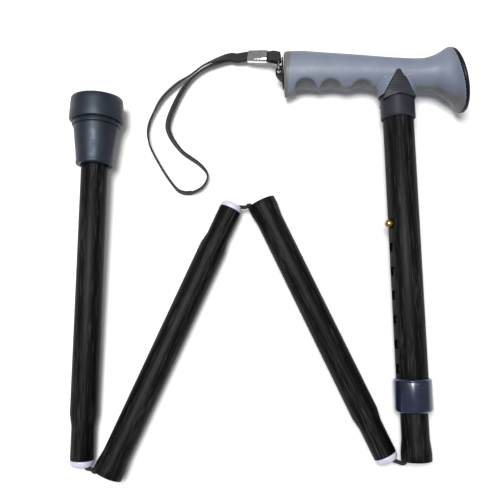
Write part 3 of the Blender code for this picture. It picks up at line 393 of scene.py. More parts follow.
made = Finish("black anodised tube", Specular_IOR_Level=0.12)
where = made.wrap()
fine = made.noise(made.stretched(where, 1300.0, 70.0), 1.0, 3.0, 0.7)
broad = made.noise(made.stretched(where, 300.0, 16.0), 1.0, 4.0, 0.7)
streak = made.between(fine * broad, 0.25, 0.5)
made.set("Base Color", made.colour(streak, (0.001, 0.001, 0.0012), (0.05, 0.051, 0.05)))
made.set("Roughness", made.between(broad, 0.3, 0.7, 0.42, 0.6))
made.relief(fine, 0.00002, 0.4)
black_tube = made.material

coat = {"Coat_Weight": 0.7, "Coat_Roughness": 0.16, "Coat_Tint": (0.8, 0.86, 1.0, 1.0)}
made = Finish("collar plastic", 0.22, **coat)
where = made.place()
tones = (0.007, 0.009, 0.022), (0.014, 0.018, 0.042)
made.set("Base Color", made.drift(where, 120.0, *tones, low=0.35, high=0.65))
made.relief(made.noise(where, 260.0, 2.0), 0.00006, 0.35)
collar_plastic = made.material

made = Finish("tip rubber", Specular_IOR_Level=0.5, Specular_Tint=(0.7, 0.84, 1.0, 1.0))
where = made.place()
made.set("Base Color", made.drift(where, 60.0, (0.0085, 0.01, 0.0145), (0.014, 0.017, 0.025), 3.0))
made.worn(where, 210.0, 0.4, 0.52)
made.relief(made.noise(where, 1500.0, 2.0), 0.00004, 0.5)
tip_rubber = made.material

made = Finish("white nylon", 0.38, Subsurface_Weight=0.1, Subsurface_Radius=(0.002, 0.002, 0.003))
where = made.place()
made.set("Base Color", made.drift(where, 200.0, (0.52, 0.51, 0.63), (0.6, 0.59, 0.69)))
made.relief(made.noise(where, 900.0), 0.00002, 0.4)
white_nylon = made.material


def metal_finish(name, colour, second_colour, roughness, grain):
    made = Finish(name, metallic=1.0)
    where = made.place()
    made.set("Base Color", made.drift(where, grain, colour, second_colour, 3.0, 0.35, 0.65))
    made.worn(where, grain * 4, roughness * 0.8, roughness * 1.5)
    made.relief(made.noise(where, grain * 8), 0.00001, 0.4)
    return made.material


def woven_finish(name, pitch, low, high, relief):
    """Crossed waves on the UV: threads run along and across, one over the other in turn."""
    made = Finish(name, 0.8, Sheen_Weight=0.06, Sheen_Roughness=0.4)
    across = made.node("SeparateXYZ", Vector=made.wrap())
    along = Value(made.tree, across.socket.node.outputs[1])
    weave = (along * (math.tau / pitch)).sine() * (across * (math.tau / pitch)).sine()
    height = weave * 0.5 + made.noise(made.wrap(), 2200.0, 2.0) * 0.5
    # The colour follows the weave's height. The low places between threads are darker as painted shade, and a fine
    # grain adds tone.
    made.set("Base Color", made.colour(made.between(height, -0.2, 0.75), low, high))
    made.relief(height, relief, 0.9)
    return made.material


handle_plastic = handle_finish("handle plastic", (0.004, 0.004, 0.006), (0.01, 0.01, 0.015))
ribbed_plastic = handle_finish("ribbed plastic", (0.016, 0.018, 0.024), (0.026, 0.03, 0.039), 0.0017)
brass = metal_finish("brass", (0.56, 0.38, 0.14), (0.42, 0.27, 0.09), 0.25, 500.0)
plain_steel = metal_finish("plain steel", (0.55, 0.55, 0.55), (0.42, 0.42, 0.42), 0.3, 400.0)
chrome = metal_finish("chrome", (0.78, 0.78, 0.8), (0.66, 0.66, 0.68), 0.08, 300.0)
nickel = metal_finish("worn nickel ring", (0.75, 0.73, 0.68), (0.36, 0.3, 0.18), 0.16, 180.0)
black_tape = woven_finish("black tape", 0.0009, (0.004, 0.004, 0.004), (0.016, 0.016, 0.017), 0.00012)
cord_sheath = woven_finish("cord sheath", 0.0007, (0.002, 0.002, 0.006), (0.01, 0.01, 0.022), 0.0001)

# %% [markdown]
# ## The wrist strap
# The strap is one flat woven tape. It leaves a metal clamp, lies flat for a while, turns on its
# edge, runs round the loop and comes back. The route is a list of points with the lean of the tape
# at each, and a smooth curve through them carries a thin rounded section.

# %% Strap and its clamp
TAPE_WIDTH, TAPE_THICKNESS = 0.007, 0.0012
ROUTE_SHIFT = Vector((0.0005, 0.0011, 0, 0))
CLAMP_RIGHT = Vector((-0.0022, 0.1513, 0.014)) + ROUTE_SHIFT.to_3d()
CLAMP_LEFT = Vector((-0.0165, 0.1533, 0.01)) + ROUTE_SHIFT.to_3d()
STRAND_HALF_PITCH, STRAP_IN_CLAMP = 0.00085, 0.45
# x, y, height of the tape's middle, lean of its width from flat in degrees
STRAP_ROUTE = (
    (-0.025, 0.1534, 0.0082, 4), (-0.0301, 0.1547, 0.007, 18), (-0.038, 0.1531, 0.0068, 40),
    (-0.0504, 0.1483, 0.0063, 62), (-0.0607, 0.1404, 0.0059, 62), (-0.0726, 0.1327, 0.005, 58),
    (-0.0842, 0.12, 0.0044, 62), (-0.092, 0.101, 0.0042, 85), (-0.0915, 0.086, 0.0042, 85),
    (-0.083, 0.069, 0.0042, 85), (-0.0745, 0.056, 0.0042, 85), (-0.0678, 0.0489, 0.0042, 85),
    (-0.0591, 0.0479, 0.0042, 85), (-0.0505, 0.0526, 0.0042, 85), (-0.0472, 0.0614, 0.0042, 85),
    (-0.0536, 0.07, 0.0042, 85), (-0.067, 0.08, 0.0042, 80), (-0.0765, 0.094, 0.0042, 66),
    (-0.077, 0.106, 0.0041, 52), (-0.0686, 0.1266, 0.004, 52), (-0.0599, 0.1387, 0.004, 62),
    (-0.0497, 0.1465, 0.0042, 62), (-0.0376, 0.1519, 0.0048, 40), (-0.0301, 0.1541, 0.0054, 18),
    (-0.025, 0.1532, 0.0064, 4),
)


def smooth_path(knots, steps):
    """Points on a smooth curve through the knots, steps of them for each stretch."""
    line = []
    for i in range(len(knots) - 1):
        a, b = knots[max(i - 1, 0)], knots[i]
        c, d = knots[i + 1], knots[min(i + 2, len(knots) - 1)]
        bend = 2 * a - 5 * b + 4 * c - d
        twist = 3 * b - a - 3 * c + d
        for k in range(steps):
            t = k / steps
            line.append(0.5 * (2 * b + (c - a) * t + bend * t**2 + twist * t**3))
    line.append(knots[-1])
    return line


def ahead_at(points, i):
    """The way that a line of points runs at one of them."""
    return (points[min(i + 1, len(points) - 1)] - points[max(i - 1, 0)]).normalized()


def across_run(way, run):
    """The part of a way that is square to run, as a unit vector."""
    return (way - run * run.dot(way)).normalized()


def swept(name, points, widths, section):
    """A section of (across, through) points carried along the route, with a UV in metres.
    widths holds, for each point, the unit vector across the tape."""
    rings = []
    for i, point in enumerate(points):
        ahead = ahead_at(points, i)
        across = across_run(widths[i], ahead)
        through = ahead.cross(across)
        rings.append([point + across * u + through * v for u, v in section])
    count = len(section)
    last = count * (len(rings) - 1)
    ends = [tuple(reversed(range(count))), tuple(range(last, last + count))]
    piece = mesh_piece(name, [p for ring in rings for p in ring], bands(len(rings), count) + ends)
    layer = piece.data.uv_layers.new(name="wrap")
    run = [0.0]
    for a, b in zip(points, points[1:]):
        run.append(run[-1] + (b - a).length)
    for polygon in piece.data.polygons:
        for loop in polygon.loop_indices:
            vertex = piece.data.loops[loop].vertex_index
            layer.data[loop].uv = (section[vertex % count][0], run[vertex // count])
    return outwards(piece)


def round_section(radius, sides, flatness=1.0):
    turns = [math.tau * k / sides for k in range(sides)]
    return [(radius * math.cos(turn), radius * flatness * math.sin(turn)) for turn in turns]


def tape_section(width, thickness):
    """A flat rounded section: the woven edges of a tape are its thinnest places."""
    w, t = width / 2, thickness / 2
    steps = (-1.0, -0.94, -0.7, -0.35, 0.0, 0.35, 0.7, 0.94, 1.0)
    top = [(w * s, t if abs(s) < 0.9 else t * (0.35 if abs(s) == 1.0 else 0.85)) for s in steps]
    return top + [(u, -v) for u, v in reversed(top)]


into_clamp = (CLAMP_RIGHT - CLAMP_LEFT) * STRAP_IN_CLAMP
strand_lift = UP * STRAND_HALF_PITCH
knots = [(*(CLAMP_LEFT + into_clamp + strand_lift), 0), (*(CLAMP_LEFT + strand_lift), 0)]
knots += [Vector(item) + ROUTE_SHIFT for item in STRAP_ROUTE]
knots += [(*(CLAMP_LEFT - strand_lift), 0), (*(CLAMP_LEFT + into_clamp - strand_lift), 0)]
samples = smooth_path([Vector(item) for item in knots], 8)
strap_line = [sample.to_3d() for sample in samples]
strap_widths = []
for i, sample in enumerate(samples):
    level = UP.cross(ahead_at(strap_line, i)).normalized()
    lean = math.radians(sample[3])
    going_out = 1 if i < len(samples) / 2 else -1
    strap_widths.append(level * math.cos(lean) * going_out + UP * math.sin(lean))
STRAP_LENGTH = sum((b - a).length for a, b in zip(strap_line, strap_line[1:]))
strap = swept("strap", strap_line, strap_widths, tape_section(TAPE_WIDTH, TAPE_THICKNESS))
finish_piece(strap, AS_MADE, "strap", black_tape, "wrist_strap", 60)

# %% [markdown]
# ## The clamp
# A strip of chromed metal is rolled round both strands and pressed flat, so its long edges are
# round and its halves meet in a groove on top, which splits the reflection in two bright lines.

# %% Clamp
CLAMP_OUTER, CLAMP_INNER = (0.0098, 0.0056), (0.0086, 0.0044)
CLAMP_LIP, CLAMP_GROOVE, CLAMP_GROOVE_WIDTH = 0.0003, 0.0005, 0.0011


def clamp_section(size, groove=0.0):
    """Round-edged outline of the clamp, with a shallow groove along the middle of its top."""
    points = []
    for k in range(32):
        turn = math.tau * k / 32
        c, s = math.cos(turn), math.sin(turn)
        x = size[0] / 2 * math.copysign(abs(c) ** 0.62, c)
        y = size[1] / 2 * math.copysign(abs(s) ** 0.7, s)
        if s > 0:
            y -= groove * math.exp(-((x / CLAMP_GROOVE_WIDTH) ** 2))
        points.append((x, y))
    return points


outer, inner = clamp_section(CLAMP_OUTER, CLAMP_GROOVE), clamp_section(CLAMP_INNER)
length = (CLAMP_LEFT - CLAMP_RIGHT).length
stations = [(outer, 0.96, 0.0), (outer, 1.0, CLAMP_LIP), (outer, 1.0, length - CLAMP_LIP)]
stations += [(outer, 0.96, length), (inner, 1.0, length), (inner, 1.0, 0.0)]
points = [(x * k, y * k, z) for shape, k, z in stations for x, y in shape]
clamp = outwards(mesh_piece("clamp", points, bands(len(stations), len(outer), closed=True)))
clamp_along = (CLAMP_LEFT - CLAMP_RIGHT).normalized()
clamp_frame = axes_frame(CLAMP_RIGHT, UP.cross(clamp_along), clamp_along)
finish_piece(clamp, clamp_frame, "strap", chrome, "strap_clamp", 50)

# %% [markdown]
# ## Ring and end loop
# The split ring is nearly two turns of wire pressed together, like a small key ring. It hangs in
# the lug of the end cap. A short stub of tape goes over it and back into the clamp.

# %% Split ring
RING_MEAN_R, RING_WIRE_R, WIRE_FLATNESS = 0.007, 0.00075, 0.52
RING_HEADING = math.radians(94.5)
RING_TURNS, RING_START, RING_STEPS = 1.9, 2.4, 120
CROSSES_AT, CROSSES_OVER = 0.42, 0.16

ring_ahead = Vector((math.cos(RING_HEADING), math.sin(RING_HEADING), 0))
ring_frame = axes_frame(place_of("ring_swing"), ring_ahead.cross(UP), UP)
ring_centre = Vector((0, RING_MEAN_R, 0))
ring_line, ring_widths = [], []
for k in range(RING_STEPS + 1):
    share = k / RING_STEPS
    turn = math.tau * RING_TURNS * share + RING_START
    step_over = (min(max((share - CROSSES_AT) / CROSSES_OVER, 0.0), 1.0) - 0.5) * RING_WIRE_R
    spoke = Vector((0, math.cos(turn), math.sin(turn)))
    ring_line.append(ring_centre + spoke * RING_MEAN_R + Vector((step_over, 0, 0)))
    ring_widths.append(spoke)
wire = round_section(RING_WIRE_R, 12, WIRE_FLATNESS)
split_ring = swept("split_ring", ring_line, ring_widths, wire)
finish_piece(split_ring, ring_frame, "ring", nickel, "strap_ring", 60)

# %% End loop
LOOP_WIDTH, LOOP_THICKNESS = 0.0072, 0.0008
LOOP_IN_CLAMP, LOOP_HALF_GAP, LOOP_OVER, LOOP_UNDER = 0.006, 0.0011, 0.0009, 0.0031
LOOP_STEPS = 8

# the route runs out of the clamp, over the top of the ring's wire and back under it
hung = place_of("strap_swing")
inside = CLAMP_RIGHT + clamp_along * LOOP_IN_CLAMP
half = UP * LOOP_HALF_GAP
over = hung + UP * (RING_WIRE_R + LOOP_OVER)
under = hung - UP * LOOP_UNDER
route = [
    inside + half,
    CLAMP_RIGHT + half,
    (CLAMP_RIGHT + half + over) / 2 + UP * 0.0012,
    over,
    hung + Vector((0.0016, 0, -0.0008)),
    under,
    (CLAMP_RIGHT - half + under) / 2 - UP * 0.0004,
    CLAMP_RIGHT - half,
    inside - half,
]
points = smooth_path(route, LOOP_STEPS)
at_clamp = Vector((clamp_along.y, -clamp_along.x, 0)).normalized()
widths = []
for i in range(len(points)):
    share = min(1.0, max(0.0, (abs(i / LOOP_STEPS - len(route) // 2) - 1) / 2))
    widths.append(ring_ahead.lerp(at_clamp, share).normalized())
strap_stub = swept("strap_stub", points, widths, tape_section(LOOP_WIDTH, LOOP_THICKNESS))
finish_piece(strap_stub, AS_MADE, ("ring", "strap"), black_tape, "strap_end_loop", 60)
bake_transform(strap_stub)

# %% [markdown]
# ## Tubes
# A section is one tube: its top is swaged narrower to go into the socket above, and its mouth is
# flared to take the section below. The outline has an inside too, so the mouth is really open.

# %% Tube sizes
OUTER_OD, OUTER_ID = 0.0222, 0.0198
TUBE_OD, TUBE_ID = 0.01905, 0.01665
WALL = (TUBE_OD - TUBE_ID) / 2
FLARE_OD, FLARE_LENGTH, FLARE_LIP = 0.02115, 0.0147, 0.0054
SPIGOT_OD, SPIGOT_LENGTH, SHOULDER_LENGTH = 0.0162, 0.0225, 0.0085
NOSE_LENGTH, TUBE_EDGE, GAP = 0.0048, 0.00025, 0.0003


def flared_mouth(mouth):
    """A flared mouth, from the body's outside down round the rim and up to its inside."""
    cone, lip = mouth + FLARE_LENGTH, mouth + FLARE_LIP
    inner, outer = FLARE_OD / 2 - WALL, FLARE_OD / 2
    down = ((TUBE_OD / 2, cone), (outer, lip), (outer, mouth))
    return down + ((inner, mouth), (inner, lip), (TUBE_ID / 2, cone))


def swaged_top(top):
    """A swaged end, from the body's inside up round the rim and down to its outside."""
    spigot = top - SPIGOT_LENGTH
    shoulder = spigot - SHOULDER_LENGTH
    inner, outer = SPIGOT_OD / 2 - WALL, SPIGOT_OD / 2
    up = ((TUBE_ID / 2, shoulder), (inner, spigot), (inner, top))
    return up + ((outer, top), (outer, spigot), (TUBE_OD / 2, shoulder))


def drill_hole(piece, height):
    """One height hole, square to the tube, where the button comes through."""
    clear_selection()
    bpy.ops.mesh.primitive_cylinder_add(vertices=32, radius=HOLE_D / 2, depth=DRILL_LENGTH)
    drill = bpy.context.object
    drill.matrix_world = axes_frame(button_out * DRILL_AT + UP * height, UP, button_out)
    cut(piece, drill)


def tube_piece(name, outline, frame_matrix, body, node, holes=()):
    piece = turned(name, outline)
    for height in holes:
        drill_hole(piece, height)
    soften(piece, TUBE_EDGE, 2, 50)
    wrap(piece)
    finish_piece(piece, frame_matrix, body, black_tube, node, 35)


# %% The folding sections
TIP_TUBE_END = 0.0161 - lengths[4]

for number, lower_end in (
    (2, flared_mouth(-lengths[2])),
    (3, flared_mouth(-lengths[3])),
    (4, ((TUBE_OD / 2, TIP_TUBE_END), (TUBE_ID / 2, TIP_TUBE_END))),
):
    name = f"section_{number}"
    outline = swaged_top(-NOSE_LENGTH) + lower_end
    tube_piece(name, outline, section_frames[number], name, name + "_tube")

# %% Sliding tube and handle tube
INNER_TOP = -0.0975
TUBE_TOP, TUBE_END = -0.0172, -0.2382
HOLES, HOLE_PITCH, HOLE_TOP, HOLE_D = 7, 0.017, -0.112, 0.0069
DRILL_AT, DRILL_LENGTH = 0.01, 0.012
BUTTON_AZIMUTH = math.radians(20)
button_out = Vector((-math.cos(BUTTON_AZIMUTH), -math.sin(BUTTON_AZIMUTH), 0))

outline = ((TUBE_ID / 2, INNER_TOP), (TUBE_OD / 2, INNER_TOP)) + flared_mouth(MOUTH_1)
tube_piece("sliding_tube", outline, handle_frame, "sliding_tube", "inner_tube", [HOLE_TOP])
outline = ((OUTER_ID / 2, TUBE_END), (OUTER_OD / 2, TUBE_END))
outline += ((OUTER_OD / 2, TUBE_TOP), (OUTER_ID / 2, TUBE_TOP))
holes = [HOLE_TOP - HOLE_PITCH * k for k in range(HOLES)]
tube_piece("outer_tube", outline, handle_frame, "handle", "handle_tube", holes)

# %% [markdown]
# ## Nylon plugs
# Each swaged end has a white nylon nose. It guides the tube into its socket and keeps the elastic
# cord from chafing.

# %% Plugs
NOSE_OD, NOSE_RIM, NOSE_STEM, NOSE_STEM_LENGTH = 0.0158, 0.0014, 0.013, 0.012
CORD_HOLE, NOSE_CREST, NOSE_FUNNEL = 0.0042, 0.0054, 0.0052

seat = -NOSE_LENGTH + GAP
hole = CORD_HOLE / 2
lip = []
for k in range(13):
    turn = math.pi / 2 * k / 12
    radius = NOSE_CREST + (NOSE_OD / 2 - NOSE_CREST) * math.cos(turn)
    lip.append((radius, seat + NOSE_RIM - GAP + (NOSE_LENGTH - NOSE_RIM) * math.sin(turn)))
stem = ((hole, seat - NOSE_STEM_LENGTH), (NOSE_STEM / 2, seat - NOSE_STEM_LENGTH), (NOSE_STEM / 2, seat))
funnel = ((NOSE_CREST - 0.0007, -0.0004), (hole + 0.0004, -NOSE_FUNNEL + 0.0006), (hole, -NOSE_FUNNEL))
outline = stem + ((NOSE_OD / 2, seat),) + tuple(lip) + funnel
for number, matrix in section_frames.items():
    nose = turned(f"plug_{number}", outline, 64)
    soften(nose, 0.0003, 2, 50)
    finish_piece(nose, matrix, f"section_{number}", white_nylon, f"section_{number}_plug")

# %% [markdown]
# ## Rubber tip
# The ferrule has a wide foot with a lip, a thin ring above it and a tapered body that ends in
# a rounded collar round the tube. Its ground face has rings that grip.

# %% Rubber tip
TIP_HEIGHT, TIP_FLOOR, TIP_POCKET, POCKET_FLOOR = 0.05, 0.0122, 0.0052, 0.0052
TIP_BORE_R, TIP_BORE_TOP, TIP_SIDES = TUBE_OD / 2 + GAP, 0.06, 128
# radius, and height under the top edge
TIP_COLLAR = ((0.0128, 0), (0.0134, 0.0006), (0.0136, 0.0015), (0.0134, 0.0026), (0.01345, 0.004))
# radius, and height above the ground face
TIP_BODY = ((0.014, 0.0398), (0.0147, 0.0343), (0.0153, 0.029), (0.0159, 0.0238), (0.0162, 0.0226))
TIP_THIN_RING = (
    ((0.0163, 0.0219), (0.016, 0.0215), (0.016, 0.0211), (0.0171, 0.0209), (0.0174, 0.0205))
    + ((0.0174, 0.0186), (0.0171, 0.0181), (0.0167, 0.018), (0.0167, 0.0177))
)
TIP_FOOT = (
    ((0.0188, 0.0175), (0.0194, 0.0169), (0.01955, 0.0159), (0.0194, 0.0111), (0.0191, 0.0044))
    + ((0.0188, 0.0012), (0.0184, 0.0003), (0.018, 0.0))
)
SOLE_RINGS = (0.015, 0.0112, 0.0074)
# radius from the middle of a ring's groove, and depth
SOLE_GROOVE = ((0.0008, 0.0), (0.0004, 0.001), (-0.0004, 0.001), (-0.0008, 0.0))


def upright(outline):
    """Heights above the ground face, turned into heights in section 4's frame."""
    return tuple((radius, height - lengths[4]) for radius, height in outline)


outside = [(TIP_BORE_R, TIP_HEIGHT - 0.0006), (TIP_BORE_R + 0.0006, TIP_HEIGHT)]
outside += [(radius, TIP_HEIGHT - under) for radius, under in TIP_COLLAR]
outside += TIP_BODY + TIP_THIN_RING + TIP_FOOT
outside += [(ring + out, deep) for ring in SOLE_RINGS for out, deep in SOLE_GROOVE]
pocket = ((TIP_BORE_R, TIP_BORE_TOP), (TIP_BORE_R, TIP_FLOOR), (TIP_POCKET, TIP_FLOOR))
pocket += ((TIP_POCKET, POCKET_FLOOR),)
tip = turned("tip", upright(outside + [(0.0004, 0.0)]), TIP_SIDES, closed=False)
cut(tip, turned("bore", upright(pocket), TIP_SIDES, closed=False))
finish_piece(tip, section_frames[4], "section_4", tip_rubber, "rubber_tip", 35)

# %% [markdown]
# ## Locking collar
# The collar is screwed up to squeeze a split ring on the sliding tube. It is moulded in glossy
# plastic, with a bevelled top edge and a rounder lower one.

# %% Locking collar
COLLAR_TOP, COLLAR_END, COLLAR_OD = -0.221, -0.2435, 0.0266
# how far each point is from the full radius, and its height
COLLAR_OUTSIDE = (
    (-0.0007, COLLAR_TOP), (0.0001, COLLAR_TOP - 0.0011), (-0.0001, COLLAR_TOP - 0.0016),
    (0, COLLAR_TOP - 0.0022), (0, COLLAR_END + 0.0022), (-0.0004, COLLAR_END + 0.0009),
    (-0.0013, COLLAR_END + 0.0001), (-0.002, COLLAR_END),
)
over_handle, over_slider = OUTER_OD / 2 + GAP, TUBE_OD / 2 + GAP

outline = ((over_handle, COLLAR_TOP),)
outline += tuple((COLLAR_OD / 2 + out, height) for out, height in COLLAR_OUTSIDE)
outline += ((over_slider, COLLAR_END), (over_slider, COLLAR_END + 0.001))
collar = turned("collar", outline + ((over_handle, TUBE_END - 0.0006),), 128)
soften(collar, 0.0002, 2, 40)
finish_piece(collar, handle_frame, "collar", collar_plastic, "locking_collar")

# %% [markdown]
# ## Cord at the folds
# Bare elastic cord shows at each fold. It leaves the mouth over its lip, and enters the bore of the
# next nose. Each stretch is made in two halves, the first on the socket's side of the fold and the
# second on the plug's side.

# %% Cord at the folds
CORD_OD, CORD_SIDES, CORD_ASIDE = 0.0028, 20, 0.0076
# out of the mouth, and how much further aside
OVER_LIP = ((-0.004, 0), (0.0001, 0), (0.0014, 0.0005), (0.0021, 0.0018))
# aside from the nose's middle, and how deep in its bore
INTO_NOSE = ((0.0038, -0.0009), (0.0018, 0.0017), (0, 0.0043), (0, 0.0065))
# for each fold, its solids, where the cord passes the lip (out of the mouth, aside), and how many
# points inside the next nose are left out
FOLDS = (
    (("cord_bend_1",), (0.0015, 0.0115), 0),
    (("cord_bend_2_socket_side", "cord_bend_2_plug_side"), (0.0018, 0.012), 1),
    (("cord_bend_3",), (0.0015, 0.0115), 0),
)
SECTIONS = ("sliding_tube", "section_2", "section_3", "section_4")
LINKS = ("fold_1_link",), ("fold_2_first_link", "fold_2_second_link"), ("fold_3_link",)


def cord_piece(name, points):
    """A round cord; its widths are any direction across, carried from point to point."""
    across = Vector((0.3, 0.2, 1)).normalized()
    widths = []
    for i in range(len(points)):
        across = across_run(across, ahead_at(points, i))
        widths.append(across)
    return swept(name, points, widths, round_section(CORD_OD / 2, CORD_SIDES))


def bend_halves(name, points, middle, bodies, nodes):
    """The two halves of a bend, split at the point nearest the middle of the fold."""
    split = min(range(len(points)), key=lambda i: (points[i] - middle).length)
    halves = ("out", points[: split + 1], bodies[:2]), ("in", points[split:], bodies[-2:])
    for (label, line, pair), node in zip(halves, (nodes[0], nodes[-1])):
        half = cord_piece(f"{name}_{label}", line)
        finish_piece(half, AS_MADE, pair, cord_sheath, node, 60)
        margin = (line[-1] - line[0]) * 0.12
        line[0] + margin
        line[-1] - margin
        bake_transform(half)


def bend_line(mouth, run, nose, down, past_lip, skipped):
    """The cord's way: along the wall, round the lip, over the near side of the plug's funnel."""
    side = across_run(nose - mouth, run)
    near = across_run(mouth - nose, down)
    way = [mouth + run * out + side * (CORD_ASIDE + aside) for out, aside in OVER_LIP]
    way.append(mouth + run * past_lip[0] + side * past_lip[1])
    way += [nose + near * aside + down * deep for aside, deep in INTO_NOSE[skipped:]]
    return smooth_path(way, 10)


middles = [(mouth + nose) / 2 for mouth, nose in zip(mouths, noses)]
middles[1] = place_of("fold_2_middle")
backs, ends = [crossing] + noses, mouths + [ground_face]
runs = [(end - back).normalized() for back, end in zip(backs, ends)]
for k, (nodes, past_lip, skipped) in enumerate(FOLDS):
    line = bend_line(mouths[k], runs[k], noses[k], runs[k + 1], past_lip, skipped)
    bodies = (SECTIONS[k], *LINKS[k], SECTIONS[k + 1])
    bend_halves(f"cord_at_fold_{k + 1}", line, middles[k], bodies, nodes)

# %% [markdown]
# ## The button
# A ball-nosed brass button pokes through the top hole.

# %% Button
BUTTON_R, BUTTON_DOME_AT = 0.00325, 0.0118
BUTTON_SHAFT = ((0.0038, 0.0058), (0.0038, 0.0064), (0.0034, 0.0068), (0.0031, 0.0068), (0.0031, 0.0116))

dome_turns = [math.pi / 2 * k / 14 for k in range(14)]
dome = tuple((BUTTON_R * math.cos(t), BUTTON_DOME_AT + BUTTON_R * math.sin(t)) for t in dome_turns)
dome += ((0.0003, BUTTON_DOME_AT + BUTTON_R),)
button = turned("button", BUTTON_SHAFT + dome, 48, closed=False)
button_place = handle_frame @ axes_frame(UP * HOLE_TOP, UP, button_out)
finish_piece(button, button_place, "button", brass, "snap_button", 35)

# %% [markdown]
# ## The grip
# The grip starts as a turned blank along the bar. Then each of its points moves out to the grip's
# own cross-section: a rounded square that swells towards the palm disc, with three finger scoops
# pressed into each side. The skirt round the stem is joined, the arrow's window is cut, and a
# remesh melts all of it into one skin with soft fillets, like moulded rubber.

# %% Grip sizes
GRIP_STATIONS = (
    (-0.08, 0.0043, 0.0168, 0.0146), (-0.07, 0.0045, 0.0164, 0.0144), (-0.05, 0.0032, 0.0152, 0.0141),
    (-0.028, 0.0019, 0.0137, 0.0135), (0.0000, -0.0006, 0.0124, 0.0131),
    (0.018, -0.0018, 0.0122, 0.0127), (0.026, -0.0016, 0.0133, 0.0137),
    (0.032, -0.0023, 0.0162, 0.0158), (0.038, -0.0032, 0.0196, 0.0188),
    (0.0418, -0.0069, 0.0238, 0.0236),
)
GRIP_LEFT, GRIP_RIGHT, GRIP_RIM = -0.0826, 0.0418, 0.0028
GRIP_SQUARENESS = 2.3
GROOVES = (-0.0665, -0.0482, -0.025)
GROOVE_HALF_WIDTH, GROOVE_FLOOR, GROOVE_HEIGHT = 0.0088, -0.014, 0.0068
GROOVE_DEPTH = 0.0021
CORNER_DROP, CORNER_LENGTH = 0.0038, 0.012
LOWER_SIDE = 0.82
PALM_TILT = math.radians(11.5)
PALM_AT, PALM_R = (0.0421, -0.0069), 0.024
SKIRT_TOP_R, SKIRT_END_R, SKIRT_END = 0.0148, 0.0138, -0.0172
BAR_OD, BAR_HEIGHT, BAR_LEFT, BAR_RIGHT = 0.014, 0.0012, -0.0795, 0.038
SLEEVE_OD, SLEEVE_END = 0.025, -0.0345
ARROW_TOP, ARROW_SHOULDER, ARROW_HALF_WIDTH = -0.0006, -0.0205, 0.0117
ARROW_RIDGE, ARROW_SLOPE = 0.015, 0.36
ARROW_FOOT, ARCH_RISE = -0.0218, 0.0022
ARROW_POINT_R, ARROW_BULGE = 0.0016, 0.0004


def station_value(at, column):
    """Reads one column of the stations at a place between them, along a smooth curve."""
    last = len(GRIP_STATIONS) - 1
    i = 0
    while i < last - 1 and GRIP_STATIONS[i + 1][0] < at:
        i += 1
    a, b = GRIP_STATIONS[max(i - 1, 0)], GRIP_STATIONS[i]
    c, d = GRIP_STATIONS[i + 1], GRIP_STATIONS[min(i + 2, last)]
    width = c[0] - b[0]
    t = (at - b[0]) / width
    slope_b = (c[column] - a[column]) / (c[0] - a[0]) * width
    slope_c = (d[column] - b[column]) / (d[0] - b[0]) * width
    return (
        (2 * t**3 - 3 * t**2 + 1) * b[column]
        + (t**3 - 2 * t**2 + t) * slope_b
        + (3 * t**2 - 2 * t**3) * c[column]
        + (t**3 - t**2) * slope_c
    )


def ramp(value, low, high):
    """0 below low and 1 above high, with a soft passage between."""
    t = min(1.0, max(0.0, (value - low) / (high - low)))
    return t * t * (3 - 2 * t)


def inside_scoop(x, z, groove):
    """1 in the middle of a scoop and 0 on its rim, with z measured from the grip's middle line."""
    across = (x - groove) / GROOVE_HALF_WIDTH
    above = max(0.0, z - GROOVE_FLOOR) / GROOVE_HEIGHT
    return 1 - across**2 - above**2


def grip_point(x, turn):
    """A point of the grip's skin in the handle's frame."""
    squeeze = 1.0
    into = x - GRIP_LEFT
    if into < GRIP_RIM:
        squeeze = 0.84 + 0.16 * math.sqrt(1 - (1 - into / GRIP_RIM) ** 2)
    c, s = math.cos(turn), math.sin(turn)
    if s < 0:
        squeeze = 1 - (1 - squeeze) * (1 + 0.75 * s)
        squeeze *= 1 + (1 - LOWER_SIDE) * s * (1 - ramp(x, 0.026, 0.04))
    centre = station_value(x, 1)
    half_height = station_value(x, 2) * squeeze
    half_depth = station_value(x, 3) * squeeze
    y = half_depth * math.copysign(abs(c) ** (2 / GRIP_SQUARENESS), c)
    z = half_height * math.copysign(abs(s) ** (2 / GRIP_SQUARENESS), s)
    scoop = 0.0
    for groove in GROOVES:
        inside = inside_scoop(x, z, groove)
        if inside > 0:
            scoop = max(scoop, GROOVE_DEPTH * math.sqrt(inside))
    keep = 1 - scoop / math.hypot(y, z)
    lean = max(0.0, (x - GRIP_STATIONS[5][0]) / (GRIP_RIGHT - GRIP_STATIONS[5][0]))
    drop = CORNER_DROP * max(0.0, 1 - into / CORNER_LENGTH) ** 1.5 * max(0.0, -s) ** 2
    return Vector((x - z * math.tan(PALM_TILT) * lean**2, y * keep, centre + z * keep - drop))


# %% Arrow outline, shared by the window and the core
def arrow_outline(grow, foot):
    """Front view: rounded point, sides that bulge a little, shoulders, and an arched foot."""
    half = ARROW_HALF_WIDTH + grow
    top, shoulder = ARROW_TOP + grow * 1.6, ARROW_SHOULDER + grow
    side = [(ARROW_POINT_R * k / 4, top - 0.0006 - 0.0012 * (k / 4) ** 2) for k in range(4)]
    for k in range(13):
        t = k / 12
        bulge = ARROW_BULGE * math.sin(math.pi * t)
        x = half * t + bulge * 0.7
        if x > ARROW_POINT_R:
            side.append((x, top + (shoulder - top) * t + bulge))
    arch = 0.0 if grow else ARCH_RISE
    feet = [(half * k / 6, foot - arch * (k / 6) ** 2) for k in range(6, -1, -1)]
    whole = side + feet
    return whole + [(-x, z) for x, z in reversed(whole) if x > 1e-6]


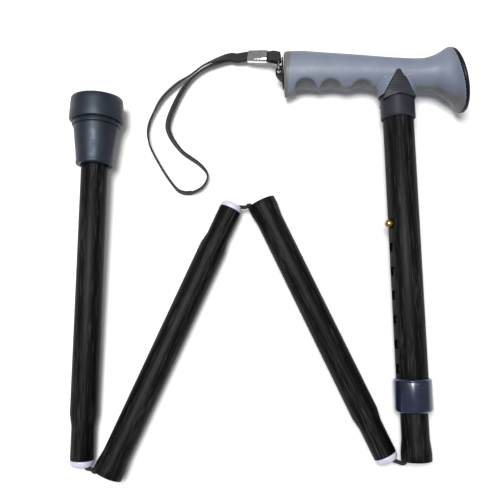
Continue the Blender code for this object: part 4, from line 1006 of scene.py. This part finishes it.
def slab(name, outline, low, high):
    """A flat outline of (x, z) points, filled and extruded along Y."""
    piece = mesh_piece(name, [(x, low, z) for x, z in outline], [tuple(range(len(outline)))])
    take(piece)
    bpy.ops.object.mode_set(mode="EDIT")
    bpy.ops.mesh.select_all(action="SELECT")
    bpy.ops.mesh.extrude_region_move(TRANSFORM_OT_translate={"value": (0, high - low, 0)})
    return outwards(piece)


def cylinder(name, radius, low, high, matrix=AS_MADE, sides=64):
    clear_selection()
    bpy.ops.mesh.primitive_cylinder_add(vertices=sides, radius=radius, depth=high - low)
    piece = bpy.context.object
    piece.name = name
    settle(piece, matrix @ Matrix.Translation((0, 0, (low + high) / 2)))
    return piece


def along_x(height=0.0):
    """Lays a piece that was made up Z along +X."""
    return Matrix.Translation((0, 0, height)) @ Matrix.Rotation(math.pi / 2, 4, "Y")


# %% Grip
GRIP_RINGS, RIM_RINGS = 190, 10
GRIP_LENGTH = GRIP_RIGHT - GRIP_LEFT - GRIP_RIM
GRIP_VOXEL = 0.0005

blank = [(0.01, GRIP_LEFT + GRIP_RIM * (k / RIM_RINGS) ** 2) for k in range(RIM_RINGS)]
blank += [(0.01, GRIP_LEFT + GRIP_RIM + GRIP_LENGTH * k / GRIP_RINGS) for k in range(GRIP_RINGS + 1)]
grip = turned("grip_sleeve", tuple(blank), sides=144, closed=False)
for vertex in grip.data.vertices:
    vertex.co = grip_point(min(vertex.co.z, GRIP_RIGHT), math.atan2(vertex.co.y, vertex.co.x))
outwards(grip)
skirt = ((SKIRT_END_R, SKIRT_END), (SKIRT_TOP_R, -0.0085), (SKIRT_TOP_R, -0.006))
cut(grip, turned("skirt", skirt, closed=False), "UNION")
cut(grip, slab("window", arrow_outline(GAP, ARROW_FOOT - 0.004), -0.03, 0.03))
cut(grip, cylinder("sleeve_room", SLEEVE_OD / 2 + GAP, -0.03, -0.008))
cut(grip, cylinder("bar_room", BAR_OD / 2 + GAP, -0.1, 0.06, along_x(BAR_HEIGHT)))
apply_modifier(grip, "REMESH", mode="VOXEL", voxel_size=GRIP_VOXEL)
apply_modifier(grip, "SMOOTH", factor=0.5, iterations=3)


def paint(piece, name, value_at):
    """Gives each point of a piece a value from its place and the way it faces."""
    layer = piece.data.attributes.new(name, "FLOAT", "POINT")
    layer.data.foreach_set("value", [value_at(v.co, v.normal) for v in piece.data.vertices])


def scoop_underside_shade_at(at, facing):
    """Painted shade: 1 inside the finger scoops and up to 0.75 on the underside that faces away from the light."""
    z = at.z - station_value(at.x, 1)
    inside = max(inside_scoop(at.x, z, groove) for groove in GROOVES)
    scooped = ramp(inside, 0.0, 0.12) * (1 - 0.35 * ramp(inside, 0.3, 1.0))
    under = 0.75 * (1 - ramp(abs(facing.y), 0.0, 0.35)) * ramp(-facing.z, 0.3, 0.7)
    return max(scooped, under)


def edge_shade_at(at, facing):
    """Painted shade: 1 on the rim at the strap's end and along both edges, where the rubber turns away from the
    light and looks browner.
    """
    rim = ramp(GRIP_LEFT + 0.0035 + 0.125 * at.z - at.x, -0.0005, 0.0003)
    reach = 0.8 if facing.z > 0 else 0.35
    return max(rim, 1 - ramp(abs(facing.y), 0.0, reach))


# Two masks of painted shade go on the grip's points: dark in the scoops and underside, browner along the edges and
# the rim.
paint(grip, "painted_scoop_underside_shade", scoop_underside_shade_at)
paint(grip, "edge", edge_shade_at)
finish_piece(grip, handle_frame, "handle", grip_rubber, "grip", 180)

# %% [markdown]
# ## The hard core
# Inside the rubber is a hard T. What shows of it is the ridged arrow in the grip's window and the
# sleeve that holds the tube. The arrow is a roof shape cut to the arrow's outline.

# %% Core
CORE_HALF, CORE_TOP, CORE_FOOT = 0.016, 0.004, -0.024
# how far each point is from the sleeve's full radius, and its height above the sleeve's end
SLEEVE_OUTSIDE = ((-0.0006, 0.018), (0, 0.0165), (0, 0.0024), (0.0001, 0.0008), (-0.0006, 0))

edge = ARROW_RIDGE - ARROW_SLOPE * CORE_HALF
blank = [(x, CORE_TOP) for x in (-CORE_HALF, 0.0, CORE_HALF)]
blank += [(x, CORE_FOOT) for x in (CORE_HALF, 0.0, -CORE_HALF)]
core = slab("core", blank, -1, 1)
for vertex in core.data.vertices:
    depth = ARROW_RIDGE if abs(vertex.co.x) < 0.001 else edge
    vertex.co.y = math.copysign(depth, vertex.co.y)
cut(core, slab("arrow", arrow_outline(0.0, ARROW_FOOT + ARCH_RISE), -0.03, 0.03), "INTERSECT")
soften(core, 0.0004, 3, 24)
outline = tuple((SLEEVE_OD / 2 + out, SLEEVE_END + up) for out, up in SLEEVE_OUTSIDE)
cut(core, turned("sleeve", outline, closed=False), "UNION")
cut(core, cylinder("bar", BAR_OD / 2, BAR_LEFT, BAR_RIGHT, along_x(BAR_HEIGHT)), "UNION")
cut(core, cylinder("tube_bore", OUTER_OD / 2 + GAP, SLEEVE_END - 0.01, TUBE_TOP + GAP))
finish_piece(core, handle_frame, "handle", ribbed_plastic, "handle_core", 30)

# %% [markdown]
# ## Caps at both ends
# The palm disc is a shallow dome with a thin rounded rim. The strap cap is a flat plate with an
# eared lug, drilled for the ring.

# %% Palm disc
POST_R, POST_DEPTH = 0.0045, 0.013
# how far each point is inside the rim, and its height over the disc's back
PALM_DOME = (
    ((0.001, 0), (0.0003, 0.0003), (0, 0.001), (0, 0.0017), (0.0003, 0.0022), (0.001, 0.0027))
    + ((0.0024, 0.0033), (0.0042, 0.0038), (0.007, 0.0045), (0.01, 0.005), (0.0135, 0.0054))
    + ((0.017, 0.0057),)
)
PALM_CREST = ((0.003, 0.006), (0.0005, 0.006))


def post(name, low, high):
    """The round peg that holds an end piece in the bar."""
    return cylinder(name, POST_R, low, high, along_x(BAR_HEIGHT))


outline = tuple((PALM_R - inward, height) for inward, height in PALM_DOME) + PALM_CREST
palm = turned("palm_disc", outline, 128, closed=False)
leaned = Matrix.Rotation(-PALM_TILT, 4, "Y") @ along_x()
settle(palm, Matrix.Translation((PALM_AT[0], 0, PALM_AT[1])) @ leaned)
cut(palm, post("palm_post", BAR_RIGHT - POST_DEPTH, PALM_AT[0] + 0.001), "UNION")
finish_piece(palm, handle_frame, "handle", handle_plastic, "palm_cap")

# %% Strap cap
CAP_AT, CAP_R, CAP_FACE = 0.0055, 0.012, -0.084
LUG_HOLE, LUG_HOLE_R, LUG_THICKNESS = (-0.0863, 0.0072), 0.0017, 0.003
LUG_ROOT = CAP_FACE + 0.0006
LUG_EAR = (
    ((-0.086, 0.0112), (-0.0871, 0.0107), (-0.088, 0.0098), (-0.0887, 0.0085), (-0.089, 0.0072))
    + ((-0.089, 0.0055), (-0.0887, 0.004), (-0.088, 0.0026), (-0.0866, 0.0008))
)

cap = cylinder("strap_plate", CAP_R, CAP_FACE, GRIP_LEFT - GAP, along_x(CAP_AT), 96)
soften(cap, 0.0004, 3, 40)
outline = ((LUG_ROOT, 0.0115),) + LUG_EAR + ((LUG_ROOT, -0.0023),)
lug = slab("lug", outline, -LUG_THICKNESS / 2, LUG_THICKNESS / 2)
quarter = Matrix.Rotation(math.pi / 2, 4, "X")
eye_at = Matrix.Translation((LUG_HOLE[0], 0, LUG_HOLE[1])) @ quarter
cut(lug, cylinder("eye", LUG_HOLE_R, -0.01, 0.01, eye_at, 48))
soften(lug, 0.0005, 3, 40)
cut(cap, lug, "UNION")
cut(cap, post("strap_post", LUG_ROOT, BAR_LEFT + POST_DEPTH), "UNION")
finish_piece(cap, handle_frame, "handle", handle_plastic, "strap_cap")

# %% [markdown]
# ## Hidden pieces
# Nobody sees what is inside the tubes, so these solids stay as they are and only get a finish.

# %% Hidden pieces
STEEL_ON_THE_CORD = ("upper_anchor_disc", "upper_cord_stop", "lower_anchor_disc", "lower_cord_stop")
CORD_RUNS = ("cord_in_inner_tube", "cord_in_section_2", "cord_in_section_3", "cord_in_section_4")

for material, slot, nodes in (
    (white_nylon, "nylon", ("collet_ring", "inner_tube_plug")),
    (plain_steel, "spring_steel", ("button_spring", "tip_washer") + STEEL_ON_THE_CORD),
    (cord_sheath, "elastic_cord", CORD_RUNS),
):
    for node in nodes:
        solid = frame["nodes"][node]
        solid.data.materials.clear()
        solid.data.materials.append(material)

# %% [markdown]
# ## Light
# The photo has one broad soft light above and a little to the left, in a white room. A narrow
# soft strip draws the long highlight on the tubes.

# %% Stage and light
def soft_light(name, at, size, size_y, power):
    """An area light at a place, turned to face the middle of the floor."""
    turn = (-Vector(at)).to_track_quat("-Z", "Y").to_euler()
    bpy.ops.object.light_add(type="AREA", location=at, rotation=turn)
    lamp = bpy.context.object
    lamp.name = name
    lamp.data.shape = "RECTANGLE"
    lamp.data.size = size
    lamp.data.size_y = size_y
    lamp.data.energy = power


clear_selection()
bpy.ops.mesh.primitive_plane_add(size=8, location=(0, 0, -0.0003))
floor = bpy.context.object
floor.name = "floor"
white_floor = Finish("white floor", 0.9)
paper = white_floor.drift(white_floor.place(), 3.0, (0.925, 0.925, 0.925), (0.935, 0.935, 0.935))
white_floor.set("Base Color", paper)
floor.data.materials.append(white_floor.material)

soft_light("key", (-0.17, 0.13, 1.15), 0.4, 0.4, 14.5)
soft_light("strip", (-0.1, 0.0, 0.9), 0.03, 1.2, 1.6)

world = bpy.data.worlds.new("white room")
bpy.context.scene.world = world
world.use_nodes = True
background = world.node_tree.nodes["Background"]
background.inputs["Color"].default_value = (1, 1, 1, 1)
background.inputs["Strength"].default_value = 0.3
bpy.context.scene.view_settings.view_transform = "Standard"
bpy.context.scene.view_settings.look = "None"
